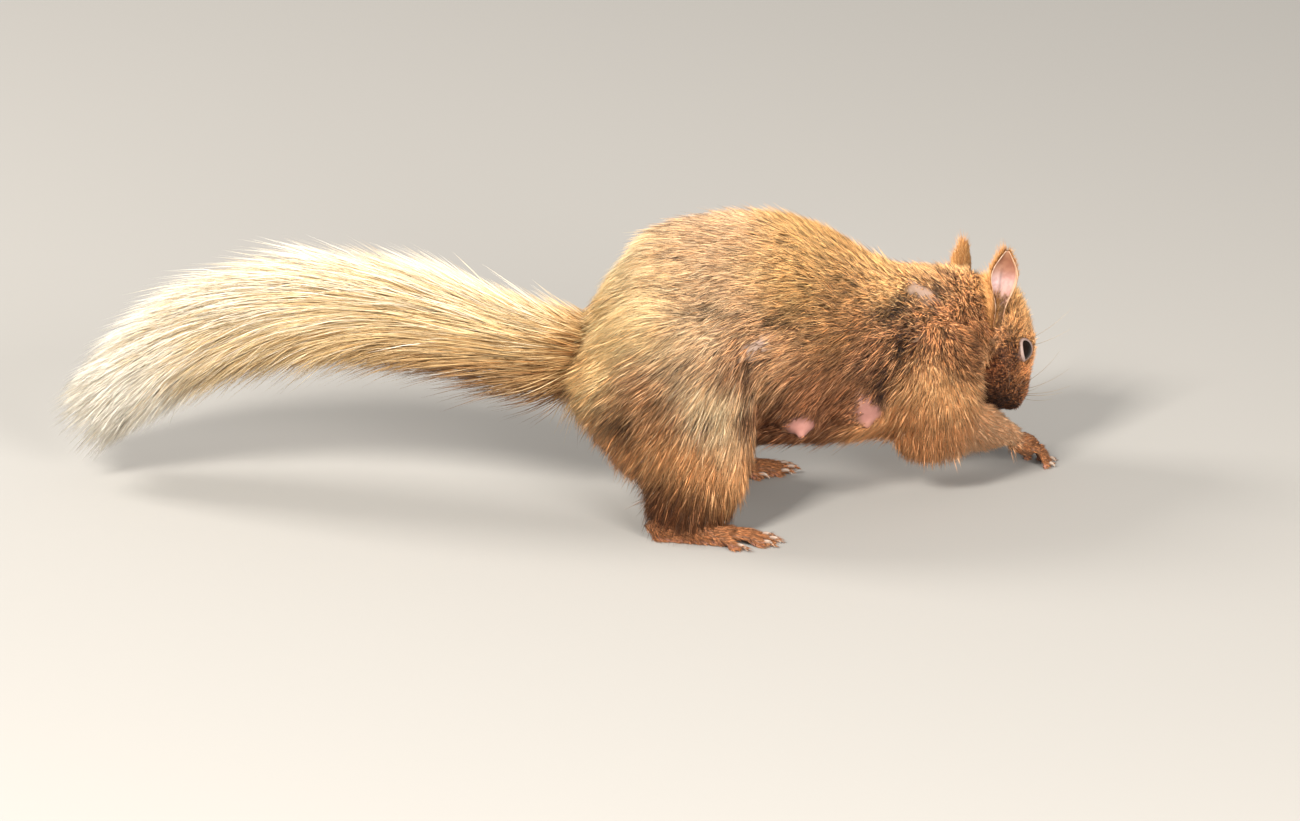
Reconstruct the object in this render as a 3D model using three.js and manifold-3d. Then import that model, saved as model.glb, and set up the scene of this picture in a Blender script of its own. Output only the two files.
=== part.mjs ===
// A red squirrel, life size, foraging with its head down: millimetres, +Z up, +X the way it faces.
// Every surface is the outside of the coat, so the body carries its fur depth; the tail is a core
// with long flat locks. The animal bends to its left, towards +Y.
import * as THREE from "three";
import { mergeVertices } from "three/addons/utils/BufferGeometryUtils.js";
import Module from "manifold-3d";

const wasm = await Module();
wasm.setup();

const GAP = 0.3; // what pieces parted by a plane keep between them
const CLEAR = 0.4; // how much a form grows before it is cut from what stands on it
const FLOOR = 0; // the soles are cut flat at this level
const RIGHT = 1; // the side towards -Y
const LEFT = -1;

const v = (x, y, z) => new THREE.Vector3(x, y, z);
const mix = THREE.MathUtils.lerp;
const WORLD_UP = v(0, 0, 1);
const AHEAD = v(1, 0, 0);

// ---- solids ----------------------------------------------------------------------------------

function solid(geometry) {
  const bare = geometry.clone();
  bare.deleteAttribute("normal");
  bare.deleteAttribute("uv");
  const merged = mergeVertices(bare, 1e-5);
  return new wasm.Manifold(
    new wasm.Mesh({
      numProp: 3,
      vertProperties: merged.attributes.position.array,
      triVerts: new Uint32Array(merged.index.array),
    }),
  );
}

function largest(body) {
  return body.decompose().reduce((a, b) => (b.volume() > a.volume() ? b : a));
}

function join(pieces) {
  return pieces.reduce((whole, piece) => whole.add(piece));
}

function geometryOf(body) {
  const mesh = body.getMesh();
  const geometry = new THREE.BufferGeometry();
  geometry.setAttribute("position", new THREE.BufferAttribute(mesh.vertProperties, 3));
  geometry.setIndex(new THREE.BufferAttribute(mesh.triVerts, 1));
  geometry.computeVertexNormals();
  return geometry;
}

// A closed body swept along a curve: a sphere whose parallels become rings round the curve.
// sizes gives each station's half width and its reach above and below the curve, all in step with
// the curve's own points. cap is the share of the length that each end takes to round off.
function sweep({ path, sizes, above = WORLD_UP, around = 16, along = 16, cap = 0.12, grow = 0 }) {
  const line = new THREE.CatmullRomCurve3(path.map((p) => v(...p)), false, "catmullrom", 0.5);
  const girth = new THREE.CatmullRomCurve3(sizes.map((s) => v(...s)), false, "catmullrom", 0.5);
  const shape = new THREE.SphereGeometry(1, around, along);
  const place = shape.attributes.position;
  for (let i = 0; i <= along; i++) {
    const t = i / along;
    const centre = line.getPoint(t);
    const tangent = line.getTangent(t);
    const up = above.clone().addScaledVector(tangent, -above.dot(tangent)).normalize();
    const side = up.clone().cross(tangent);
    const reach = girth.getPoint(t);
    const end = Math.min(1, Math.min(t, 1 - t) / cap);
    const round = Math.sqrt(Math.max(0, 1 - (1 - end) ** 2));
    centre.addScaledVector(tangent, (1 - end) * grow * (t < 0.5 ? -1 : 1));
    for (let j = 0; j <= around; j++) {
      const angle = ((j % around) / around) * 2 * Math.PI;
      const tall = Math.sin(angle) > 0 ? reach.y : reach.z;
      const point = centre
        .clone()
        .addScaledVector(side, Math.cos(angle) * (reach.x + grow) * round)
        .addScaledVector(up, Math.sin(angle) * (tall + grow) * round);
      place.setXYZ(i * (around + 1) + j, point.x, point.y, point.z);
    }
  }
  const body = solid(shape);
  return body.volume() < 0 ? solid(turnedOut(shape)) : body;
}

function turnedOut(shape) {
  const turned = shape.toNonIndexed();
  const place = turned.attributes.position;
  for (let i = 0; i < place.count; i += 3) {
    const b = v(0, 0, 0).fromBufferAttribute(place, i + 1);
    const c = v(0, 0, 0).fromBufferAttribute(place, i + 2);
    place.setXYZ(i + 1, c.x, c.y, c.z);
    place.setXYZ(i + 2, b.x, b.y, b.z);
  }
  return turned;
}

function ellipsoid(radii, pose, around = 10, along = 6) {
  return solid(new THREE.SphereGeometry(1, around, along).scale(...radii).applyMatrix4(pose));
}

// The half of space in front of a plane, as a large block.
const BLOCK = 500;
function beyond(point, normal) {
  const turn = new THREE.Quaternion().setFromUnitVectors(WORLD_UP, normal.clone().normalize());
  return solid(
    new THREE.BoxGeometry(BLOCK, BLOCK, BLOCK)
      .translate(0, 0, BLOCK / 2)
      .applyQuaternion(turn)
      .translate(point.x, point.y, point.z),
  );
}

// Parts a body at a plane, leaving the gap that touching pieces keep.
function parted(body, point, normal) {
  const step = normal.clone().normalize().multiplyScalar(GAP / 2);
  const front = body.intersect(beyond(point.clone().add(step), normal));
  const back = body.subtract(beyond(point.clone().sub(step), normal));
  return [largest(front), largest(back)];
}

const aboveFloor = (body) => body.subtract(beyond(v(0, 0, FLOOR), v(0, 0, -1)));

// ---- torso and neck --------------------------------------------------------------------------

// Stations from the tail root to the chest: x, y, z and then half width, above, below.
const TORSO = [
  [-33, 0, 62, 14, 14, 14],
  [-19, 0, 62, 27, 28, 30],
  [0, 1, 66, 34, 41, 42],
  [19, 3, 70, 36, 46, 46],
  [38, 8, 70.5, 36, 46, 46],
  [57, 15, 67, 35, 43.5, 45.5],
  [76, 24, 60, 33, 38, 41.5],
  [95, 34, 54, 31, 34, 35.5],
  [111, 42, 52, 27, 33, 29],
  [125, 49, 52, 22, 30, 24],
];
const NECK = [
  [92, 32, 58, 22, 24, 24],
  [106, 39, 56, 24, 28, 26],
  [119, 46, 54, 20.5, 27, 24],
  [129, 50, 52, 14, 19, 19],
];

function fromStations(stations, detail) {
  return sweep({
    path: stations.map((s) => s.slice(0, 3)),
    sizes: stations.map((s) => s.slice(3)),
    ...detail,
  });
}

const torsoShape = (grow) => fromStations(TORSO, { around: 26, along: 26, cap: 0.15, grow });
const neckShape = (grow) => fromStations(NECK, { around: 18, along: 9, cap: 0.1, grow });

// A teat stands on a small bare swelling low on each flank.
const TEATS = { mound: 5, tip: 1.7, reach: 5.2, places: [[57, -10.5, 38.5], [82, 1, 38.3]] };
const MIDLINE = { at: 57, y: 15, slope: 0.48 }; // the belly's middle line, seen from above

function teats() {
  return TEATS.places.flatMap(([x, y, z]) => {
    const middle = MIDLINE.y + (x - MIDLINE.at) * MIDLINE.slope;
    return [y, 2 * middle - y].flatMap((across) => {
      const out = v(0, Math.sign(across - middle) * 0.66, -0.75);
      const root = v(x, across, z);
      const tip = root.clone().addScaledVector(out, TEATS.reach);
      const at = (p) => new THREE.Matrix4().makeTranslation(p.x, p.y, p.z);
      return [
        ellipsoid([TEATS.mound, TEATS.mound, TEATS.mound], at(root), 7, 5),
        ellipsoid([TEATS.tip, TEATS.tip, TEATS.tip * 1.4], at(tip), 6, 4),
      ];
    });
  });
}

// ---- head ------------------------------------------------------------------------------------

// The head hangs almost straight down and is turned away to the left.
const HEAD_AT = v(130.7, 50, 49.1);
const HEAD_FORWARD = v(0.27, -0.02, -0.963).normalize();
const HEAD_CROWN = v(0.771, 0.603, 0.204)
  .addScaledVector(HEAD_FORWARD, -v(0.771, 0.603, 0.204).dot(HEAD_FORWARD))
  .normalize();
const HEAD_SIDE = HEAD_CROWN.clone().cross(HEAD_FORWARD); // its own left
const headPose = new THREE.Matrix4()
  .makeBasis(HEAD_FORWARD, HEAD_SIDE, HEAD_CROWN)
  .setPosition(HEAD_AT);

// In the head's own frame: +x to the nose, +y to its left, +z to the crown.
// Stations from the back of the skull to the nose: x, y, z and then half width, above, below.
const SKULL = [
  [-27, 0, 0, 11, 10, 10],
  [-19, 0, 0, 15.5, 14.5, 15],
  [-10, 0, 0, 18, 16, 16.5],
  [0, 0, 0, 18, 15.5, 16],
  [8, 0, 0, 15.3, 13.3, 14.8],
  [15, 0, 0, 11.2, 10.4, 12.4],
  [21.5, 0, 0, 8.2, 7.2, 9.4],
  [27, 0, -0.4, 5.8, 4.6, 5.6],
];
const EYE = { x: 2.4, y: 12.3, z: 2.5, radius: 4.9, tilt: 0.2, lead: 0.14 };
const LID = { radii: [6.5, 5.7, 5.8], front: 4.4, back: 3.6, upper: 3, lower: 2.7, deep: 9 };
const MOUTH = { z: -4.8, back: 14, high: 0.8, deep: 1.3, slope: -0.06 };
const NOSE = { x: 25.6, z: 1.6, wide: 3.2, long: 2.3, tall: 2.6 };
const NOSTRIL = { x: 27.4, y: 1.6, z: 1.9, radius: 0.85 };
const LIP = { x: 21.4, y: 3.7, z: -1.4, long: 5.2, wide: 4.2, tall: 4 };
const CHIN = { x: 20.6, z: -6.6, long: 4.8, wide: 3.9, tall: 3.2 };

const inHead = (x, y, z) => v(x, y, z).applyMatrix4(headPose);
const headMove = (x, y, z) =>
  headPose.clone().multiply(new THREE.Matrix4().makeTranslation(x, y, z));

function skullShape(grow) {
  const stations = SKULL.map(([x, y, z]) => inHead(x, y, z).toArray());
  return sweep({
    path: stations,
    sizes: SKULL.map((s) => s.slice(3)),
    above: HEAD_CROWN,
    around: 22,
    along: 18,
    cap: 0.14,
    grow,
  });
}

// The eye's place and the way it looks, as a frame whose +z leaves the head.
function eyePlace(side) {
  const out = v(Math.sin(EYE.lead), -side * Math.cos(EYE.lead), Math.sin(EYE.tilt)).normalize();
  const along = AHEAD.clone().addScaledVector(out, -out.x).normalize();
  const own = new THREE.Matrix4()
    .makeBasis(along, out.clone().cross(along), out)
    .setPosition(EYE.x, -side * EYE.y, EYE.z);
  return headPose.clone().multiply(own);
}

// The eye's own frame keeps its x along the head, so the lids' corners point to nose and ear.
const lidBall = (side) =>
  solid(new THREE.SphereGeometry(1, 12, 9).scale(...LID.radii).applyMatrix4(eyePlace(side)));

function lidOpening(side) {
  const almond = new THREE.Shape();
  almond.moveTo(LID.front, 0);
  almond.quadraticCurveTo(LID.front * 0.25, LID.upper * 1.7, -LID.back, 0);
  almond.quadraticCurveTo(LID.front * 0.1, -LID.lower * 1.7, LID.front, 0);
  const prism = new THREE.ExtrudeGeometry(almond, {
    depth: LID.deep,
    bevelEnabled: false,
    curveSegments: 5,
  });
  return solid(prism.applyMatrix4(eyePlace(side)));
}

const eyeBall = (side, radius) =>
  solid(
    new THREE.SphereGeometry(radius, 12, 9).applyMatrix4(eyePlace(side)),
  );

function mouthSlit() {
  const length = 40;
  const plate = new THREE.BoxGeometry(length, length, MOUTH.high)
    .translate(length / 2, 0, 0)
    .rotateY(MOUTH.slope);
  const slit = solid(plate.applyMatrix4(headMove(MOUTH.back, 0, MOUTH.z)));
  return slit.subtract(skullShape(-MOUTH.deep));
}

function headShape() {
  const muzzle = [
    ellipsoid([NOSE.long, NOSE.wide, NOSE.tall], headMove(NOSE.x, 0, NOSE.z)),
    ellipsoid([CHIN.long, CHIN.wide, CHIN.tall], headMove(CHIN.x, 0, CHIN.z)),
    ...[RIGHT, LEFT].map((side) =>
      ellipsoid([LIP.long, LIP.wide, LIP.tall], headMove(LIP.x, side * LIP.y, LIP.z)),
    ),
  ];
  const lids = [RIGHT, LEFT].map(lidBall);
  const hollows = [
    mouthSlit(),
    ...[RIGHT, LEFT].flatMap((side) => [
      eyeBall(side, EYE.radius + CLEAR),
      lidOpening(side),
      ellipsoid(
        [NOSTRIL.radius * 1.6, NOSTRIL.radius, NOSTRIL.radius * 0.8],
        headMove(NOSTRIL.x, side * NOSTRIL.y, NOSTRIL.z),
        8,
        6,
      ),
    ]),
  ];
  return join([skullShape(0), ...muzzle, ...lids]).subtract(join(hollows));
}

// ---- ears ------------------------------------------------------------------------------------

const EAR = {
  root: [-9, 14, -6.5],
  tip: { right: [-37, 19, 5.5], left: [-37, 16, 5] },
  facing: [0.1, 0.92, -0.38],
  bow: 1.6, // the ear's back is bowed, away from its opening
  sizes: [
    [3.2, 3.4, 3],
    [4.6, 3.2, 3],
    [6.3, 2.8, 2.8],
    [6.8, 2.3, 2.4],
    [5.2, 1.6, 1.7],
    [1.3, 0.7, 0.8],
  ],
  cup: { start: 0.24, share: 0.8, shift: 1.7 },
};

// The ear's outside as one leaf, or a smaller leaf set out of it for the cup.
function earLeaf(side, word, { start = 0, share = 1, shift = 0, grow = 0 }) {
  const sided = ([x, y, z]) => v(x, -side * y, z);
  const root = sided(EAR.root).applyMatrix4(headPose);
  const along = sided(EAR.tip[word]).applyMatrix4(headPose).sub(root);
  const opening = sided(EAR.facing).transformDirection(headPose);
  const last = EAR.sizes.length - 1;
  const at = (t) =>
    root.clone().addScaledVector(along, t).addScaledVector(opening, shift - EAR.bow * t * t);
  return sweep({
    path: EAR.sizes.map((_, i) => at(mix(start, 1, i / last)).toArray()),
    sizes: EAR.sizes.map((reach) => reach.map((r) => r * share)),
    above: opening,
    around: 12,
    along: 9,
    cap: 0.2,
    grow,
  });
}

const earShape = (side, word) =>
  earLeaf(side, word, {}).subtract(earLeaf(side, word, EAR.cup));

// ---- locks of hair ---------------------------------------------------------------------------

// A flat, tapered lock: full at a third of its length, a fine point at its end.
const LOCK_TAPER = [0.55, 1, 0.86, 0.56, 0.14];

function lock(points, { wide, thick }, above) {
  const curve = new THREE.CatmullRomCurve3(points, false, "catmullrom", 0.5);
  const last = LOCK_TAPER.length - 1;
  return sweep({
    path: LOCK_TAPER.map((s, i) => curve.getPoint(i / last).toArray()),
    sizes: LOCK_TAPER.map((s) => [(wide / 2) * s, (thick / 2) * s, (thick / 2) * s]),
    above,
    around: 4,
    along: 4,
    cap: 0.1,
  });
}

// ---- tail ------------------------------------------------------------------------------------

// Stations along the tail bone: x, y, z and then the plume's half width, above, below.
const TAIL = [
  [-22, 0, 63, 11, 14, 14],
  [-46, 1, 66.5, 17, 18, 20],
  [-74, 5, 72, 21, 22, 23],
  [-102, 10, 76, 24, 25, 25],
  [-130, 16, 75, 26, 26, 26],
  [-156, 22, 67, 26, 26, 23],
  [-180, 28, 53, 23, 24, 18],
  [-199, 32, 37, 17, 18, 12],
  [-214, 35, 22, 10, 11, 8],
];
const CORE = { root: 0.5, tip: 0.25, end: 0.8 };
const TAIL_LOCKS = {
  rings: 9,
  perRing: 7,
  first: 0.0,
  last: 0.76,
  reach: 0.27,
  wide: 18,
  thick: 3.2,
  sunk: 0.15,
};

// A small seeded generator, so that every build is the same.
function seeded(seed) {
  let state = seed;
  return () => {
    state = (state * 1664525 + 1013904223) % 4294967296;
    return state / 4294967296;
  };
}

function tailFrame() {
  const line = new THREE.CatmullRomCurve3(TAIL.map((s) => v(s[0], s[1], s[2])), false, "catmullrom");
  const girth = new THREE.CatmullRomCurve3(TAIL.map((s) => v(s[3], s[4], s[5])), false, "catmullrom");
  return (t, angle, share) => {
    const s = THREE.MathUtils.clamp(t, 0, 1);
    const tangent = line.getTangent(s);
    const up = WORLD_UP.clone().addScaledVector(tangent, -WORLD_UP.dot(tangent)).normalize();
    const side = up.clone().cross(tangent);
    const reach = girth.getPoint(s);
    const tall = Math.sin(angle) > 0 ? reach.y : reach.z;
    return line
      .getPoint(s)
      .addScaledVector(tangent, (t - s) * line.getLength())
      .addScaledVector(side, Math.cos(angle) * reach.x * share)
      .addScaledVector(up, Math.sin(angle) * tall * share);
  };
}

function tailShape() {
  const at = tailFrame();
  const random = seeded(7);
  const stations = 9;
  const core = Array.from({ length: stations }, (_, i) => {
    const t = (i / (stations - 1)) * CORE.end;
    const slim = mix(CORE.root, CORE.tip, i / (stations - 1));
    const middle = at(t, 0, 0);
    return [
      ...middle.toArray(),
      at(t, 0, slim).distanceTo(middle),
      at(t, Math.PI / 2, slim).distanceTo(middle),
      at(t, -Math.PI / 2, slim).distanceTo(middle),
    ];
  });
  const locks = [];
  for (let i = 0; i < TAIL_LOCKS.rings; i++) {
    for (let j = 0; j < TAIL_LOCKS.perRing; j++) {
      const start = mix(TAIL_LOCKS.first, TAIL_LOCKS.last, i / (TAIL_LOCKS.rings - 1));
      const angle = ((j + (i % 2) / 2 + (random() - 0.5) * 0.3) / TAIL_LOCKS.perRing) * 2 * Math.PI;
      const reach = TAIL_LOCKS.reach * mix(0.9, 1.1, random());
      const drift = (random() - 0.5) * 0.25;
      const steep = mix(0.45, 0.9, Math.min(1, i / 3)); // hair fans out at once from the rump
      const rise = (share) => mix(TAIL_LOCKS.sunk, 1, share);
      const points = [0, 0.35, 0.7, 1].map((s) =>
        at(start + reach * s, angle + drift * s, rise(Math.sin((s * Math.PI) / 2) ** steep)),
      );
      const outward = points[2].clone().sub(at(start + reach * 0.7, 0, 0));
      locks.push(lock(points, TAIL_LOCKS, outward));
    }
  }
  return join([fromStations(core, { around: 8, along: 10, cap: 0.08 }), ...locks]);
}

// ---- hind legs -------------------------------------------------------------------------------

// Each haunch is thigh, shank and their long fur in one mass, from hip to heel:
// x, distance out from the body's middle, z and then half thickness, ahead, behind.
const HAUNCH = [
  [2, 12, 96, 9, 15, 16],
  [4, 19, 82, 18.5, 27, 28],
  [7, 22, 62, 20.5, 37, 37],
  [12, 25, 43, 18.5, 32, 31],
  [16, 29, 27, 13, 24, 22],
  [15, 32, 14, 10.5, 17, 18],
  [14, 33, 7, 9, 14, 15],
];
const HAUNCH_SHIFT = { right: [0, 0], left: [8, 0] }; // the left leg stands a little further on

function haunchShape(side, grow) {
  const [ahead, up] = side === RIGHT ? HAUNCH_SHIFT.right : HAUNCH_SHIFT.left;
  const stations = HAUNCH.map(([x, y, z, ...sizes], i) => {
    const share = i / (HAUNCH.length - 1);
    return [x + ahead * share, -side * y + 1, z + up, ...sizes];
  });
  return fromStations(stations, { above: AHEAD, around: 20, along: 14, cap: 0.12, grow });
}

const HIND_FOOT = {
  right: { heel: [-1, -32.5], turn: -0.13 },
  left: { heel: [7, 31], turn: 0.22 },
  // along the foot from the heel: x, z and then half width, above, below
  sole: [
    [-2, 5.5, 4.2, 5, 6.2],
    [8, 5, 4.8, 5.5, 5.8],
    [19.5, 4.2, 5.4, 5, 5],
    [29, 3.4, 6.2, 4, 4.2],
    [33.5, 3, 5.6, 2.6, 3.6],
  ],
  // toes from inner to outer: root along and across, turn out, length
  toes: [
    [25, 4.4, 0.3, 10.5],
    [30.5, 3.5, 0.12, 14],
    [32.5, 0.9, 0.02, 15],
    [31.5, -1.9, -0.1, 14.5],
    [25, -4.6, -0.34, 12],
  ],
  radius: 1.9,
  claw: 4,
  arch: 1,
};
const FORE_FOOT = {
  sole: [
    [-3, 13, 3.4, 3.8, 3.8],
    [2, 11.4, 4, 4, 4.6],
    [6.5, 9.2, 4.7, 3.8, 5.2],
    [9.5, 7.6, 4.1, 3, 4.6],
  ],
  toes: [
    [5.5, 3.7, 0.42, 7.2],
    [7.5, 1.5, 0.15, 8.6],
    [7.5, -1.2, -0.1, 8.6],
    [5.5, -3.5, -0.4, 7.4],
  ],
  radius: 1.65,
  claw: 3,
  arch: 2.5, // the fingers reach down into what it digs for
};

// A digit arches down to the floor and ends in a curved claw.
function digit({ at, turn, length, radius, claw, arch, side }) {
  const way = v(Math.cos(turn), -side * Math.sin(turn), 0);
  const point = (along, z) => {
    const p = at.clone().addScaledVector(way, along);
    return [p.x, p.y, z];
  };
  const toe = sweep({
    path: [
      point(-length * 0.3, radius * 1.7 * arch),
      point(length * 0.2, radius * 1.95 * arch),
      point(length * 0.55, radius * 1.6 * arch),
      point(length * 0.8, radius * 0.86),
      point(length, radius * 0.8),
    ],
    sizes: [1, 0.95, 0.9, 1.05, 0.7].map((s) => [radius * s, radius * s, radius * s]),
    around: 6,
    along: 5,
    cap: 0.14,
  });
  const tip = length - 0.6;
  const nail = sweep({
    path: [
      point(tip - 1.2, radius * 1.15),
      point(tip + claw * 0.35, radius * 1.25),
      point(tip + claw * 0.75, radius * 0.85),
      point(tip + claw, radius * 0.25),
    ],
    sizes: [0.95, 0.75, 0.5, 0.28].map((s) => [s * 0.8, s, s]),
    around: 4,
    along: 4,
    cap: 0.12,
  });
  return [toe, nail];
}

// A foot from its own plan, set down at a place with a turn about the vertical.
function footShape(plan, side, [x, y], turn) {
  const set = new THREE.Matrix4().makeRotationZ(turn).setPosition(x, y, 0);
  const sole = sweep({
    path: plan.sole.map(([along, z]) => v(along, 0, z).applyMatrix4(set).toArray()),
    sizes: plan.sole.map((s) => s.slice(2)),
    around: 10,
    along: 7,
    cap: 0.14,
  });
  const toes = plan.toes.flatMap(([along, across, out, length]) =>
    digit({
      at: v(along, side * across, 0).applyMatrix4(set),
      turn: -side * turn - out,
      length,
      radius: plan.radius,
      claw: plan.claw,
      arch: plan.arch,
      side,
    }),
  );
  return aboveFloor(join([sole, ...toes]));
}

// ---- forelegs --------------------------------------------------------------------------------

// Upper arm and forearm with their fringe of fur: x, y, z and then half thickness, ahead, behind.
const FORELEG = {
  right: {
    upper: [
      [100, 17, 73, 9, 13, 12],
      [103, 15, 61, 13, 21, 15],
      [105, 14, 47, 14, 23, 15],
      [105.5, 14, 34, 13, 21, 15],
      [105, 15, 23.5, 11, 18, 14],
      [104, 16, 14, 9, 14, 12],
    ],
    lower: [
      [104, 15, 29, 12, 13, 13],
      [115, 23, 26.5, 11.5, 12.5, 12],
      [127, 32, 21, 9, 10, 9.5],
      [136, 39.5, 16, 6.2, 6.6, 6.4],
      [142, 44, 12.6, 4.4, 4.4, 4.4],
    ],
    paw: [139, 42.5],
    turn: 0.6,
  },
  left: {
    upper: [
      [96, 53, 70, 9, 14, 12],
      [99, 57, 58, 13, 20, 15],
      [101, 61, 45, 13.5, 21, 16],
      [103, 64, 33, 12, 18, 15],
      [104, 66, 22, 10, 14, 13],
      [103, 67, 12.5, 8, 11, 11],
    ],
    lower: [
      [102, 65, 27, 10, 11, 11],
      [108, 68, 20.5, 8.5, 9, 9],
      [114, 71, 15.5, 6, 6.4, 6.4],
      [118, 73, 11.8, 4.2, 4.2, 4.2],
    ],
    paw: [115, 71.6],
    turn: 0.5,
  },
};

function forelegShape({ upper, lower }, grow) {
  return fromStations(upper, { above: AHEAD, around: 14, along: 12, cap: 0.16, grow }).add(
    fromStations(lower, { around: 12, along: 10, cap: 0.1, grow }),
  );
}

// ---- the whole animal ------------------------------------------------------------------------

const NAPE_CUT = { at: v(110, 41, 55), way: v(0.85, 0.5, -0.12) };
const THROAT_CUT = {
  at: inHead(-9.5, 0, -3.5),
  way: HEAD_FORWARD.clone().multiplyScalar(0.62).addScaledVector(HEAD_CROWN, 0.78),
};

const COAT = new THREE.MeshStandardMaterial({ color: 0xb0702f, roughness: 0.9, metalness: 0 });
const FACE = new THREE.MeshStandardMaterial({ color: 0x8f5524, roughness: 0.9, metalness: 0 });
const PLUME = new THREE.MeshStandardMaterial({ color: 0xe6c48a, roughness: 0.9, metalness: 0 });
const FEET = new THREE.MeshStandardMaterial({ color: 0xa55a24, roughness: 0.8, metalness: 0 });
const EAR_SKIN = new THREE.MeshStandardMaterial({ color: 0xd9a08a, roughness: 0.7, metalness: 0 });
const EYE_WET = new THREE.MeshStandardMaterial({ color: 0x0c0806, roughness: 0.08, metalness: 0 });

function model() {
  const group = new THREE.Group();
  const show = (name, body, material) => {
    const mesh = new THREE.Mesh(geometryOf(largest(body)), material);
    mesh.name = name;
    group.add(mesh);
  };

  const trunk = join([torsoShape(0), ...teats()]);
  const [, torso] = parted(trunk, NAPE_CUT.at, NAPE_CUT.way);
  const [headEnd] = parted(headShape(), THROAT_CUT.at, THROAT_CUT.way);
  const nape = join([torsoShape(0), neckShape(0), skullShape(0)]);
  const [aheadOfNape] = parted(nape, NAPE_CUT.at, NAPE_CUT.way);
  const [, neck] = parted(aheadOfNape, THROAT_CUT.at, THROAT_CUT.way);
  const earRoots = join([
    earLeaf(RIGHT, "right", { grow: CLEAR }),
    earLeaf(LEFT, "left", { grow: CLEAR }),
  ]);
  show("torso", torso, COAT);
  show("neck", neck.subtract(earRoots), COAT);
  show("head", headEnd.subtract(earRoots), FACE);

  const tail = tailShape().subtract(torsoShape(CLEAR));
  const hulls = [torsoShape(CLEAR), neckShape(CLEAR), skullShape(CLEAR)];
  for (const [side, word] of [[RIGHT, "right"], [LEFT, "left"]]) {
    show(`ear_${word}`, earShape(side, word), EAR_SKIN);
    show(`eye_${word}`, eyeBall(side, EYE.radius), EYE_WET);

    const haunch = haunchShape(side, 0).subtract(torsoShape(CLEAR));
    const plan = HIND_FOOT[word];
    const foot = footShape(HIND_FOOT, side, plan.heel, plan.turn);
    show(`haunch_${word}`, aboveFloor(haunch), COAT);
    show(`hind_foot_${word}`, foot.subtract(haunchShape(side, CLEAR)), FEET);

    const limb = FORELEG[word];
    const foreleg = forelegShape(limb, 0).subtract(join(hulls)).subtract(earRoots);
    const paw = footShape(FORE_FOOT, side, limb.paw, limb.turn);
    show(`foreleg_${word}`, aboveFloor(foreleg), COAT);
    show(`forepaw_${word}`, paw.subtract(forelegShape(limb, CLEAR)), FEET);
  }
  show("tail", tail.subtract(haunchShape(RIGHT, CLEAR)).subtract(haunchShape(LEFT, CLEAR)), PLUME);

  // The frame's origin is on the floor, under the middle of the whole animal.
  const box = new THREE.Box3().setFromObject(group);
  const middle = box.getCenter(v(0, 0, 0));
  group.position.set(-middle.x, -middle.y, -box.min.z);
  return group;
}

export default model();
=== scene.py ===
"""A red squirrel, life size, foraging with its head down: skin, coat and features over the frame.

Places are given in the animal's own millimetres, x ahead, y to its left, z up from the floor,
and placed() turns them into the frame's metres.
"""

import math

import bmesh
import bpy
import numpy as np
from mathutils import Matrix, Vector
from mathutils.bvhtree import BVHTree


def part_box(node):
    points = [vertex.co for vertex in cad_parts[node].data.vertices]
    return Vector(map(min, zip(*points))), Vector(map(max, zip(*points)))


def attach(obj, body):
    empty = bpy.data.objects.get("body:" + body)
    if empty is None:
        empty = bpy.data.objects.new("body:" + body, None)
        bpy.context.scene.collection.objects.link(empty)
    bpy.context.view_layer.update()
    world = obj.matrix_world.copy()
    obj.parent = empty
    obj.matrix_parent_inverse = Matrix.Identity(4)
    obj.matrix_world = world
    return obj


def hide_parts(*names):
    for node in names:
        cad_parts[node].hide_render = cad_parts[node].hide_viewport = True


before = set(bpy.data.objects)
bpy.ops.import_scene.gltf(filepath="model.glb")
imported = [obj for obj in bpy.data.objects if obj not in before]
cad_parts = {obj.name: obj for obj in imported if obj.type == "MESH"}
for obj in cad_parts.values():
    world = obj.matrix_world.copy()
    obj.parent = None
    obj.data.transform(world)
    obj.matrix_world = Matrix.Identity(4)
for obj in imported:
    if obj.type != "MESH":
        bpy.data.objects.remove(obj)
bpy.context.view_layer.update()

# ---- how the animal lies in the frame ---------------------------------------------------------
# The head hangs almost straight down and is turned away to the left. Its own frame has x to the
# nose, y to its left and z to the crown. The right eye's solid ties the animal to the frame.

MM = 0.001
SIDES = {"right": 1, "left": -1}


def unit(v):
    """Each vector divided by its own length."""
    v = np.asarray(v, float)
    return v / (np.linalg.norm(v, axis=-1, keepdims=True) + 1e-12)


HEAD_AT = np.array([130.7, 50, 49.1])
HEAD_FORWARD = unit([0.27, -0.02, -0.963])
crown = np.array([0.771, 0.603, 0.204])
HEAD_CROWN = unit(crown - crown @ HEAD_FORWARD * HEAD_FORWARD)
HEAD_AXES = np.array([HEAD_FORWARD, np.cross(HEAD_CROWN, HEAD_FORWARD), HEAD_CROWN])
# the left eye's middle in the head's own frame, its radius, and its axis's tilt up and forward
EYE = {"at": [2.4, 12.3, 2.5], "radius": 4.9, "tilt": 0.2, "lead": 0.14}


def in_head(points):
    """Points of the head's own frame in the animal's millimetres: origin plus axes times point."""
    return HEAD_AT + np.asarray(points, float) @ HEAD_AXES


def on_side(side, place):
    """A place or direction of the head's own frame, given for the left, on either side."""
    return np.array([1, -side, 1]) * place


eye_low, eye_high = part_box("eye_right")
EYE_MIDDLE = in_head(on_side(SIDES["right"], EYE["at"]))
SHIFT = np.array((eye_low + eye_high) / 2) / MM - EYE_MIDDLE


def placed(points):
    """The animal's millimetres as metres of the frame."""
    return (np.asarray(points, float) + SHIFT) * MM


def to_animal(points):
    """Metres of the frame as the animal's millimetres."""
    return points / MM - SHIFT


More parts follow.
